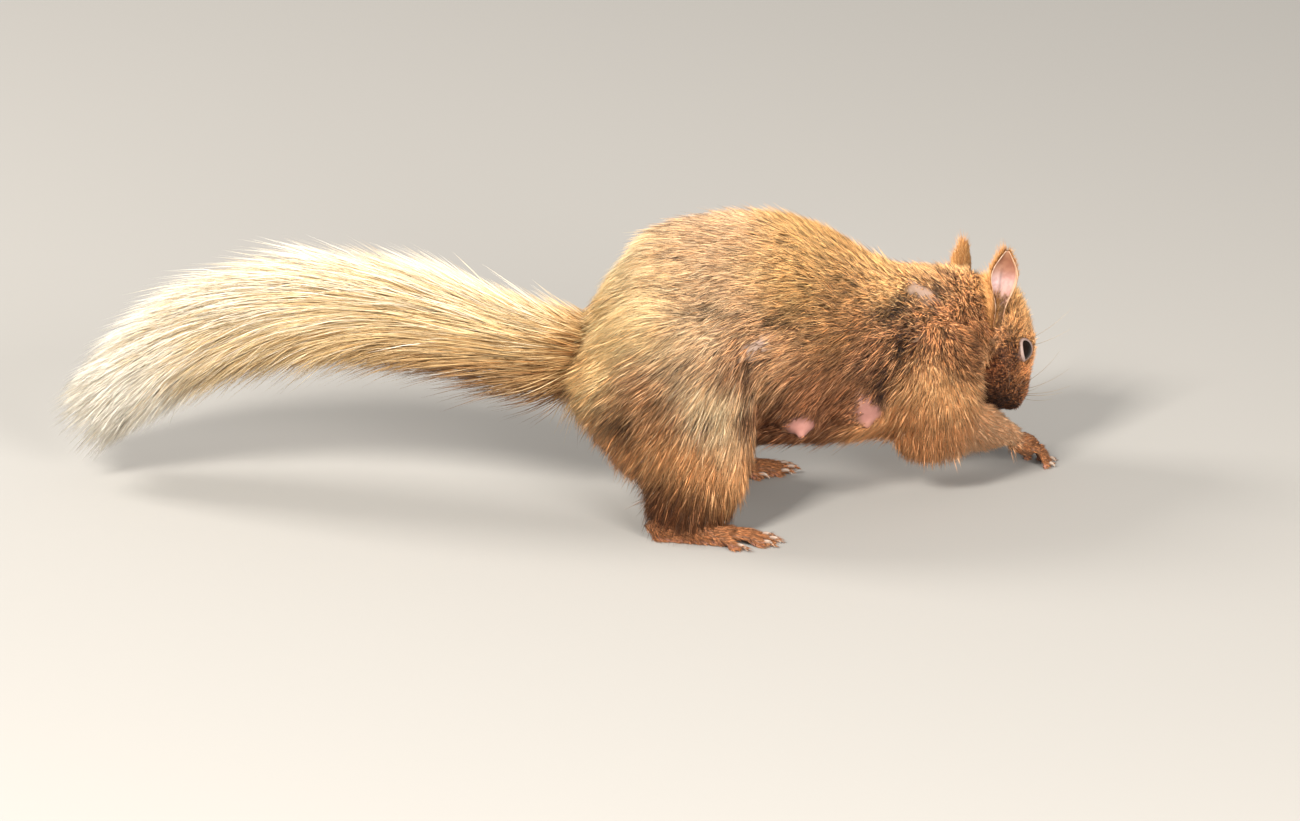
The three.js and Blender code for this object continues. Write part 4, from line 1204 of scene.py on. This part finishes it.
def grow_plume(name, tufts, low, high):
    """Strands of the tail between two shares of its way. One starts on the bone, at an angle
    round it, and at share s of its own length it is reach times s further on and out by
    s^steep of its share of the plume's reach."""
    start = low + (high - low) * (np.arange(tufts) + rng.random(tufts)) / tufts
    angle = rng.uniform(0, 2 * np.pi, tufts)
    fullness = read_off(PLUME_FULLNESS, start)
    full = np.clip(fullness * rng.normal(1, FAN_OF_TUFT, tufts), *PLUME_WITHIN)
    reach = read_off(PLUME_LENGTH, start) * rng.uniform(*REACH_OF_TUFT, tufts)
    drift = rng.normal(0, DRIFT, tufts)

    pick = np.repeat(np.arange(tufts), PLUME["in_tuft"])
    count = len(pick)
    own_angle = angle[pick] + rng.normal(0, ANGLE_OF_STRAND, count)
    own_start = start[pick] + rng.normal(0, START_OF_STRAND, count)
    own_full = full[pick] * rng.normal(1, FAN_OF_STRAND, count)
    own_reach = reach[pick] * rng.uniform(*REACH_OF_STRAND, count)
    own_reach = np.minimum(own_reach, (PLUME_END - own_start) * rng.uniform(*REACH_AT_END, count))
    steep = read_off(PLUME_STEEP, own_start)
    s = np.linspace(0, 1, PLUME["rings"] + 1)
    bone_share = read_off(PLUME_FROM, own_start)[:, None]
    share = bone_share + (own_full[:, None] - bone_share) * s ** steep[:, None]
    t = own_start[:, None] + own_reach[:, None] * s
    centres = tail_point(t, own_angle[:, None] + drift[pick][:, None] * s, share)
    centres[..., 2] -= PLUME_SAG * s**2
    centres[..., 2] = np.maximum(centres[..., 2], FLOOR_CLEAR)
    normal = unit(centres[:, -2] - curve(TAIL_PATH, np.clip(t[:, -2], 0, 1)))
    widths = PLUME["width"] * MM * PLUME_TAPER * rng.uniform(*WIDTH_OF_TAIL_STRAND, (count, 1))

    over = np.sin(own_angle)[:, None] * (OVER_AT_ROOT + (1 - OVER_AT_ROOT) * s)
    further_out = (own_full / fullness[pick] - 1)[:, None]
    noise = rng.normal(0, PALE_OF_STRAND, (count, 1)) + PALE_OUTWARD * further_out
    colour = tail_colour(t, over, noise)
    tone = np.exp(rng.normal(0, TONE_OF_TAIL_STRAND, count))
    tone = tone * np.exp(rng.normal(0, TONE_OF_TAIL_TUFT, tufts))[pick]
    tone *= np.where(rng.random(count) < DARK_STRANDS, DARK_STRAND, 1)
    colour = limited(colour * tone[:, None, None])
    patch = on_map((own_angle / (2 * np.pi)) % 1, (own_start - own_start.min()) / np.ptp(own_start))
    chance = rng.random(count)
    strand_mesh(name, placed(centres), widths, normal, colour, chance, patch, TAIL_HAIR)


in_part = int(PLUME["strands"] * SHARE / PLUME["parts"]) // PLUME["in_tuft"]
span = PLUME["last"] - PLUME["first"]
ends = [PLUME["first"] + span * k / PLUME["parts"] for k in range(PLUME["parts"] + 1)]
for number, (low, high) in enumerate(zip(ends, ends[1:]), start=1):
    grow_plume(f"tail_plume_{number}", in_part, low, high)

# ---- eyes -------------------------------------------------------------------------------------
# Large, black-brown and wet, set at the side of the head, each with a thick pale lid whose
# corners point to the nose and the ear. Each is a ball, with the lid laid round it as a ring.

wet = Finish("eye_wet")
wet.shade(
    base_color=wet.mix(wet.noise(500, 2), (0.004, 0.002, 0.0015), (0.010, 0.005, 0.003)),
    roughness=0.06,
    specular_ior_level=0.1,
    coat_weight=0.05,
    coat_roughness=0.02,
)
LID_NARROWS = {"corner": 0.28, "front": 0.35, "above": 0.25}  # shares, in reach and thickness
LID_SECTION = (1.1, 0.62)  # half its width and its height, in thicknesses

lid_skin = Finish("lid_skin")
lid_grain = lid_skin.noise(1800, 3)
lid_pale = lid_skin.mix(lid_grain, (0.25, 0.165, 0.14), (0.33, 0.25, 0.225))
lid_skin.shade(
    base_color=lid_skin.mix(lid_skin.attribute("upper"), lid_pale, (0.19, 0.135, 0.12)),
    roughness=0.45 + 0.2 * lid_grain,
    normal=lid_skin.bump(lid_grain, 0.4, 0.0002),
)


def ball(radius, rings=28, around=40):
    """A sphere about the origin: rings of radius r*sin(a) at height r*cos(a), its poles left to
    wrapped()."""
    a = np.linspace(0.02, np.pi - 0.02, rings)[:, None]
    b = np.linspace(0, 2 * np.pi, around, endpoint=False)[None]
    return radius * np.stack([np.sin(a) * np.cos(b), np.sin(a) * np.sin(b), np.cos(a) + 0 * b], axis=2)


def lid_ring(a, around=12):
    """A closed ring along the almond of the lids: at angle a its middle is at cos(a) times the
    reach to that corner and sin(a) times the reach up or down, lifted onto a sphere just over
    the eyeball; its own section is an ellipse, thinner at the front corner and on top."""
    ahead, above = np.maximum(np.cos(a), 0), np.maximum(np.sin(a), 0)
    x = np.where(np.cos(a) > 0, LID["front"], LID["back"]) * np.cos(a)
    tall = np.where(np.sin(a) > 0, LID["upper"], LID["lower"])
    y = tall * np.sin(a) * (1 - LID_NARROWS["corner"] * ahead**2)
    z = np.sqrt(np.maximum((EYE["radius"] + LID["over"]) ** 2 - x**2 - y**2, 1.0))
    middle = np.stack([x, y, z], axis=1)
    lift = unit(middle)
    flat = np.cross(unit(np.roll(middle, -1, axis=0) - np.roll(middle, 1, axis=0)), lift)
    b = np.linspace(0, 2 * np.pi, around, endpoint=False)
    thick = LID["thick"] * (1 - LID_NARROWS["front"] * ahead**3)
    thick = (thick * (1 - LID_NARROWS["above"] * above))[:, None]
    section = (
        flat[:, None] * (LID_SECTION[0] * thick * np.cos(b))[..., None]
        + lift[:, None] * (LID_SECTION[1] * thick * np.sin(b))[..., None]
    )
    return middle[:, None] + section


for word, side in SIDES.items():
    place, axes = eye_frame(side)
    verts, faces = wrapped(ball(EYE["radius"]))
    eyeball = piece(f"eyeball_{word}", placed(place + verts @ axes), faces, wet.material)
    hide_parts(f"eye_{word}")
    angle = np.linspace(0, 2 * np.pi, 64, endpoint=False)
    grid = lid_ring(angle)
    verts = placed(place + grid.reshape(-1, 3) @ axes)
    faces = outward(verts, quads_between(*grid.shape[:2], closed=True))
    lid = piece(f"lid_{word}", verts, faces, lid_skin.material)
    set_values(lid.data, "upper", np.repeat(smoothstep(-0.1, 0.5, np.sin(angle)), grid.shape[1]))

# ---- ears -------------------------------------------------------------------------------------
# Each ear is a thin oval leaf with a deep cup, pink inside with a pale rim, and furred behind.
# Its foot stands on the side of the head behind the eye.

EAR = {
    # root, tip and facing are in the head's own frame, for the left ear
    "root": [-8, 13.6, -6.5],
    "tip": {"right": [-37.5, 19, 5.5], "left": [-35.5, 16, 10]},
    "facing": [0.1, 0.92, -0.38],
    "bow": 1.6,
    "stands_off": 1.2,
    "thick": 0.8,
    "steps": 44,
}
EAR_SHAPE = [
    # half width and depth of the cup at every tenth of the ear's length
    (1.3, 0.9),
    (1.5, 1.2),
    (1.6, 1.4),
    (1.7, 1.7),
    (2.5, 2.2),
    (3.7, 2.6),
    (4.7, 2.8),
    (5.1, 2.6),
    (4.3, 1.9),
    (2.5, 1.0),
    (0.4, 0.1),
]
EAR_TONES = [
    # share of the ear's length, and the colour of its inside there
    (0.0, (0.15, 0.065, 0.026)),
    (0.3, (0.20, 0.095, 0.045)),
    (0.42, (0.31, 0.175, 0.145)),
    (0.62, (0.36, 0.21, 0.19)),
    (0.76, (0.23, 0.10, 0.062)),
    (0.9, (0.18, 0.07, 0.032)),
    (1.0, (0.22, 0.10, 0.05)),
]
EAR_LOBE = np.array([1.35, 1.65, 1.8])  # so much paler and pinker is the cup's rear half
EAR_RIM = {1: (0.50, 0.33, 0.22), -1: (0.62, 0.52, 0.42)}  # the front rim's colour, the rear's
EAR_BACK = (0.30, 0.14, 0.05)
# the fold is a dark line of painted shade down the cup's middle, where the leaf itself has no fold
EAR_FOLD = {"middle": 0.12, "wide": 0.13, "dark": 0.42, "from": (0.3, 0.45), "to": (0.68, 0.82)}
LOBE_ACROSS, LOBE_FROM, LOBE_TO = (0.2, -0.5), (0.4, 0.6), (0.75, 0.9)
RIM_ACROSS, RIM_FROM = (0.9, 0.985), (0.12, 0.42)
CUP_POWER = 0.8  # the cup's section is the sine of the angle to this power

ear_skin = Finish("ear_skin")
veins = ear_skin.noise(520, 4).between(0.42, 0.62)
ear_own = ear_skin.attribute("coat", "Color")
ear_skin.shade(
    base_color=ear_skin.mix(veins * 0.5, ear_own, ear_skin.times(ear_own, (0.74, 0.60, 0.58))),
    roughness=0.55,
    normal=ear_skin.bump(ear_skin.noise(1500, 3), 0.4, 0.0002),
)


def ear_axes(word):
    """The ear's root, its length's direction and size, across it, and the way that it opens."""
    side = SIDES[word]
    root, tip = (in_head(on_side(side, end)) for end in (EAR["root"], EAR["tip"][word]))
    along = tip - root
    opening = on_side(side, EAR["facing"]) @ HEAD_AXES
    opening = unit(opening - opening @ unit(along) * unit(along))
    return root, along, side * np.cross(unit(along), opening), opening


def ear_point(word, s, a, skin_out):
    """A point of the leaf: at share s of its length and angle a from rim (0) to rim (pi), across
    by cos(a) of the half width, and back by sin(a)^0.8 of the cup's depth, on the front of the
    leaf or by its thickness further out."""
    root, along, across, opening = ear_axes(word)
    half, deep = np.moveaxis(curve(EAR_SHAPE, s), -1, 0)
    return (
        root
        + along * s[..., None]
        + opening * (-EAR["bow"] * s**2 + EAR["stands_off"])[..., None]
        + across * (np.cos(a) * (half + skin_out * 0.5))[..., None]
        - opening * (np.sin(a) ** CUP_POWER * (deep + skin_out))[..., None]
    )


def ear_colours(s, a):
    """The colour of the ear's inside: by its length, paler in the lobe of its rear half, darker
    by painted shade along the line of a fold down its middle, and another on either rim."""
    cos = np.cos(a)
    fold = np.exp(-(((cos + EAR_FOLD["middle"]) / EAR_FOLD["wide"]) ** 2))
    fold = fold * smoothstep(*EAR_FOLD["from"], s) * (1 - smoothstep(*EAR_FOLD["to"], s))
    lobe = smoothstep(*LOBE_ACROSS, cos) * smoothstep(*LOBE_FROM, s) * (1 - smoothstep(*LOBE_TO, s))
    colour = read_off(EAR_TONES, s)
    colour = colour * (1 + (EAR_LOBE - 1) * lobe[..., None]) * (1 - EAR_FOLD["dark"] * fold)[..., None]
    for rim, shade in EAR_RIM.items():
        share = smoothstep(*RIM_ACROSS, rim * cos) * smoothstep(*RIM_FROM, s)
        colour = colour + (np.array(shade) - colour) * share[..., None]
    return colour


s, a = np.meshgrid(np.linspace(0, 1, EAR["steps"]), np.linspace(0, np.pi, EAR["steps"]), indexing="ij")
for word in SIDES:
    front, back = ear_point(word, s, a, 0.0), ear_point(word, s, a[:, ::-1], EAR["thick"])
    verts, faces = wrapped(np.concatenate([front, back], axis=1))
    ear = piece(f"ear_leaf_{word}", placed(verts), faces, ear_skin.material)
    colours = np.concatenate([ear_colours(s, a), 0 * back + EAR_BACK], axis=1)
    set_values(ear.data, "coat", np.vstack([colours.reshape(-1, 3), EAR_BACK, EAR_BACK]))
    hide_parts(f"ear_{word}")

# Short hair on the back of each ear, wisps that stand off both rims and the tip, a fringe that
# fills the narrow foot of the cup, and a ruff of longer hair that joins the ear to the nape.
EAR_HAIR = {
    # kind: strands, length, lift, lean outward
    "back": (2700, 3.2, 0.2, 0.1),
    "rim": (560, 4.1, 0.3, 0.4),
    "fringe": (380, 4.6, 0.3, 0.0),
    "ruff": (800, 7.5, 0.4, 1.5),
}
EAR_HAIR_WIDTH, EAR_WIDTH_OF_STRAND, EAR_LENGTH_OF_STRAND = 0.23, (0.7, 1.2), (0.5, 1.2)
EAR_SWAY, EAR_SUNK = 0.3, 0.15
REAR_SHARE, RIM_WIDE = 0.62, 0.13  # of the rim's hair, and of the half turn from rim to rim
TIP_FROM, TIP_SHARE, TIP_LONGER = 0.88, 0.7, 1.25  # the rim's hair goes over the tip
BACK_TO, RUFF_TO, RUFF_WIDE, FRINGE_TO = 0.97, 0.62, 0.3, 0.46
FRINGE_DARK, FOOT_DARK, FOOT_DARK_FROM = 0.55, 0.6, (0.55, 0.25)
EAR_ORANGE, EAR_CREAM = np.array([0.44, 0.18, 0.05]), np.array([0.78, 0.46, 0.19])


def ear_roots(kind, count):
    """Where on the ear that kind of hair grows: shares of its length and angles across it."""
    rear = rng.random(count) < REAR_SHARE
    near_rim = np.pi * RIM_WIDE * rng.random(count)
    if kind == "back":
        return np.sqrt(rng.random(count)) * BACK_TO, np.pi * rng.random(count) ** 0.75
    if kind == "rim":
        s, a = 0.3 + 0.7 * rng.random(count) ** 0.6, np.where(rear, np.pi - near_rim, near_rim)
        over_tip = (s > TIP_FROM) & (rng.random(count) < TIP_SHARE)
        return s, np.where(over_tip, np.pi * rng.random(count), a)
    if kind == "ruff":
        return RUFF_TO * rng.random(count), np.pi * (1 - RUFF_WIDE * rng.random(count))
    return FRINGE_TO * rng.random(count), np.pi * rng.random(count)


for word in SIDES:
    _, along, across, opening = ear_axes(word)
    for kind, (strands, longest, lift, lean) in EAR_HAIR.items():
        count = int(strands * SHARE)
        s, a = ear_roots(kind, count)
        inside = kind == "fringe"
        root = ear_point(word, s, a, 0.0 if inside else EAR["thick"] * 0.9)
        normal = opening + 0 * root if inside else unit(root - ear_point(word, s, a, 0.0))
        outwards = lean * np.cos(a)[:, None] * across
        way = along_skin(unit(along) + outwards + rng.normal(0, EAR_SWAY, (count, 3)), normal)
        long = longest * rng.uniform(*EAR_LENGTH_OF_STRAND, count) * (0.75 + 0.25 * np.cos(np.pi - a))
        long *= np.where(s > 0.85, TIP_LONGER, 1) if kind == "rim" else 1
        ends = np.linspace(0, 1, 2)
        centres = (
            root[:, None]
            + way[:, None] * (long[:, None] * ends)[..., None]
            + normal[:, None] * (lift * long[:, None] * ends - EAR_SUNK * (1 - ends))[..., None]
        )
        widths = EAR_HAIR_WIDTH * MM * rng.uniform(*EAR_WIDTH_OF_STRAND, (count, 1))
        shade = EAR_ORANGE + (EAR_CREAM - EAR_ORANGE) * rng.random((count, 1)) ** 1.6
        shade = shade * (FRINGE_DARK if inside else 1)
        shade *= 1 - FOOT_DARK * (smoothstep(*FOOT_DARK_FROM, s) * (np.cos(a) > 0))[:, None]
        name, patch, chance = f"coat_ear_{kind}_{word}", on_map(a / np.pi, s), rng.random(count)
        strand_mesh(name, placed(centres), widths, normal, shade, chance, patch, BODY_HAIR)

# ---- claws ------------------------------------------------------------------------------------
# Curved horn claws, narrow and hooked, one at the tip of each of the five hind and four fore toes.
# Each is a tapering bar along its curve, with its root in the toe.

TOES = {
    # each toe's start along and across the foot, its turn out and its length
    "hind_foot": [
        (25, 4.4, 0.3, 10.5),
        (30.5, 3.5, 0.12, 14),
        (32.5, 0.9, 0.02, 15),
        (31.5, -1.9, -0.1, 14.5),
        (25, -4.6, -0.34, 12),
    ],
    "forepaw": [
        (5.5, 3.7, 0.42, 7.2),
        (7.5, 1.5, 0.15, 8.6),
        (7.5, -1.2, -0.1, 8.6),
        (5.5, -3.5, -0.4, 7.4),
    ],
}
TOE_RADIUS = {"hind_foot": 1.9, "forepaw": 1.65}
CLAW_LENGTH = {"hind_foot": 3.6, "forepaw": 3.0}
CLAW_STEPS = np.array([-0.3, 0.1, 0.4, 0.75, 1.0])  # shares of its length, the first in the toe
CLAW_HEIGHTS = np.array([1.15, 1.3, 1.25, 0.85, 0.22])  # of its line, in toe radii
CLAW_SIZES = np.array([0.9, 0.85, 0.7, 0.48, 0.1])[:, None] * [0.62, 0.95, 0.9]
IN_TOE, OFF_FLOOR = 0.6, 0.1
HEELS = {
    # where the foot starts
    "hind_foot_right": (-1, -32.5),
    "hind_foot_left": (7, 31),
    "forepaw_right": (139, 42.5),
    "forepaw_left": (115, 71.6),
}

horn = Finish("claw_horn")
streak = horn.noise(1400, 3)
horn_dark = horn.mix(streak, (0.16, 0.09, 0.06), (0.24, 0.16, 0.12))
horn.shade(
    base_color=horn.mix(horn.attribute("along"), horn_dark, (0.40, 0.33, 0.27)),
    roughness=0.38 + 0.15 * streak,
    normal=horn.bump(streak, 0.3, 0.0001),
)


def gathered(name, bodies, material):
    """Swept bodies as one piece, which keeps off the floor, with the attribute along: 0 at each
    body's root and 1 at its tip."""
    verts, faces, along = [], [], []
    for body in bodies:
        rings, around = body.shape[:2]
        own, sides = wrapped(body)
        faces += [[len(along) + i for i in face] for face in sides]
        verts.append(own)
        along += np.append(np.repeat(np.linspace(0, 1, rings), around), [0, 1]).tolist()
    verts = np.vstack(verts)
    verts[:, 2] = np.maximum(verts[:, 2], OFF_FLOOR)
    thing = piece(name, placed(verts), faces, material)
    set_values(thing.data, "along", np.array(along))


def claw(foot, ahead, across, turn_out, toe_length):
    """One claw: it starts in the toe's tip, goes on the toe's way and hooks down to the floor."""
    part, word = foot.rsplit("_", 1)
    side, turn, length = SIDES[word], FOOT_TURN[foot], CLAW_LENGTH[part]
    c, s = math.cos(turn), math.sin(turn)
    toe = [HEELS[foot][0] + c * ahead - s * side * across, HEELS[foot][1] + s * ahead + c * side * across]
    way = np.array([math.cos(turn + side * turn_out), math.sin(turn + side * turn_out)])
    steps = toe_length - IN_TOE + length * CLAW_STEPS
    path = np.column_stack([toe + way * steps[:, None], TOE_RADIUS[part] * CLAW_HEIGHTS])
    return swept(path, CLAW_SIZES, 16, 12, 0.05)


for foot in HEELS:
    part = foot.rsplit("_", 1)[0]
    gathered(f"claws_{foot}", [claw(foot, *toe) for toe in TOES[part]], horn.material)

# ---- whiskers ---------------------------------------------------------------------------------
# Long stiff hairs from the sides of the muzzle and a few over the eye, thick at the root, fine at
# the tip, bowed back a little, and rooted in the skin.

WHISKERS = [
    # root and direction in the head's own frame, length
    ((21.5, 4.6, 1.5), (0.10, 0.95, 0.30), 30),
    ((20.0, 5.2, 1.0), (-0.10, 0.95, 0.22), 34),
    ((18.5, 5.8, 0.6), (-0.30, 0.93, 0.15), 36),
    ((21.5, 4.8, -0.6), (0.12, 0.98, -0.02), 30),
    ((20.0, 5.4, -1.0), (-0.12, 0.98, -0.12), 36),
    ((18.5, 6.0, -1.4), (-0.34, 0.92, -0.2), 38),
    ((21.0, 4.6, -2.6), (0.05, 0.93, -0.35), 28),
    ((19.5, 5.2, -3.0), (-0.15, 0.9, -0.4), 32),
    ((18.0, 5.8, -3.4), (-0.38, 0.85, -0.4), 32),
    ((22.5, 3.8, 2.6), (0.25, 0.85, 0.45), 22),
    ((4.0, 10.6, 8.4), (0.1, 0.55, 0.85), 20),
    ((1.5, 11.0, 8.8), (-0.15, 0.55, 0.85), 22),
]
WHISKER_BOW = np.array([-0.22, 0, -0.06])  # its sag at the tip, as shares of its length
WHISKER_RADIUS, WHISKER_SUNK, WHISKER_CLEAR = 0.10, 1.0, 0.6

bristle = Finish("whisker")
bristle_colour = bristle.mix(bristle.attribute("along"), (0.08, 0.05, 0.03), (0.42, 0.33, 0.22))
bristle.shade(base_color=bristle_colour, roughness=0.4)


def whisker(side, root, way, long):
    """One whisker: straight on from its root, less its bow times the square of its share."""
    t = np.linspace(0, 1, 9)[:, None]
    root, way = on_side(side, root), unit(on_side(side, way))
    path = in_head(root + way * (long * t - WHISKER_SUNK) + WHISKER_BOW * long * t**2)
    path[:, 2] = np.maximum(path[:, 2], WHISKER_CLEAR)
    return swept(path, WHISKER_RADIUS * (1 - 0.8 * t) * [1, 1, 1], 16, 5, 0.02)


for word, side in SIDES.items():
    hairs = [whisker(side, *row) for row in WHISKERS]
    gathered(f"whiskers_{word}", hairs, bristle.material)

# ---- floor, light and camera ------------------------------------------------------------------
# A plain pale floor under soft light. The camera looks across the animal from its right, from
# 20 degrees above the horizon, through a long lens.

HALF_FLOOR = 3.0
SKY, SKY_STRENGTH = (1.0, 0.98, 0.95, 1), 0.5
ELEVATION = math.radians(20)
LENS, SENSOR = 300.0, 36.0
PICTURE_WIDTH = 494.0  # millimetres across the picture, at the animal
AIM_Y, AIM_UP = 25.0, 37.2  # the picture's middle: its y, and its height square to the view


def staged(name, data):
    """An object of the scene that isn't part of the animal."""
    thing = bpy.data.objects.new(name, data)
    bpy.context.scene.collection.objects.link(thing)
    return thing


def aimed(thing, place, at):
    """Stands a light or camera at a place and turns it to look at a point."""
    thing.location = place
    thing.rotation_euler = (Vector(at) - Vector(place)).to_track_quat("-Z", "Y").to_euler()


def soft_light(name, place, at, size, power, colour):
    """A square area light of that size and power at a place, turned to shine on a point."""
    data = bpy.data.lights.new(name, "AREA")
    data.size, data.energy, data.color = size, power, colour
    aimed(staged(name, data), place, at)


floor_mesh = bpy.data.meshes.new("floor")
corners = [(-HALF_FLOOR, -HALF_FLOOR, 0), (HALF_FLOOR, -HALF_FLOOR, 0)]
corners += [(HALF_FLOOR, HALF_FLOOR, 0), (-HALF_FLOOR, HALF_FLOOR, 0)]
floor_mesh.from_pydata(corners, [], [[0, 1, 2, 3]])
floor_mesh.materials.append(Finish("floor_pale").shade(base_color=(0.30, 0.292, 0.28), roughness=0.9))
staged("floor", floor_mesh)

world = bpy.data.worlds.new("sky")
bpy.context.scene.world = world
world.use_nodes = True
sky = world.node_tree.nodes["Background"].inputs
sky["Color"].default_value, sky["Strength"].default_value = SKY, SKY_STRENGTH

soft_light("key", (-0.7, -1.3, 1.3), (0, 0, 0.05), 0.4, 62, (1.0, 0.95, 0.87))
soft_light("front", (0.9, -1.7, 0.7), (0, 0, 0.04), 0.8, 62, (1.0, 0.94, 0.87))
soft_light("back", (-1.3, 0.4, 1.1), (0, 0, 0.06), 0.6, 30, (1.0, 0.95, 0.88))

aim = np.array([0.0, AIM_Y, (AIM_UP - AIM_Y * math.sin(ELEVATION)) / math.cos(ELEVATION)])
far = PICTURE_WIDTH * LENS / SENSOR
stand = aim + far * np.array([0, -math.cos(ELEVATION), math.sin(ELEVATION)])
lens = bpy.data.cameras.new("camera")
lens.lens, lens.sensor_width = LENS, SENSOR
lens.clip_start, lens.clip_end = 0.5, 30
camera = staged("camera", lens)
aimed(camera, placed(stand), placed(aim))
bpy.context.scene.camera = camera
bpy.context.scene.view_settings.view_transform = "Standard"
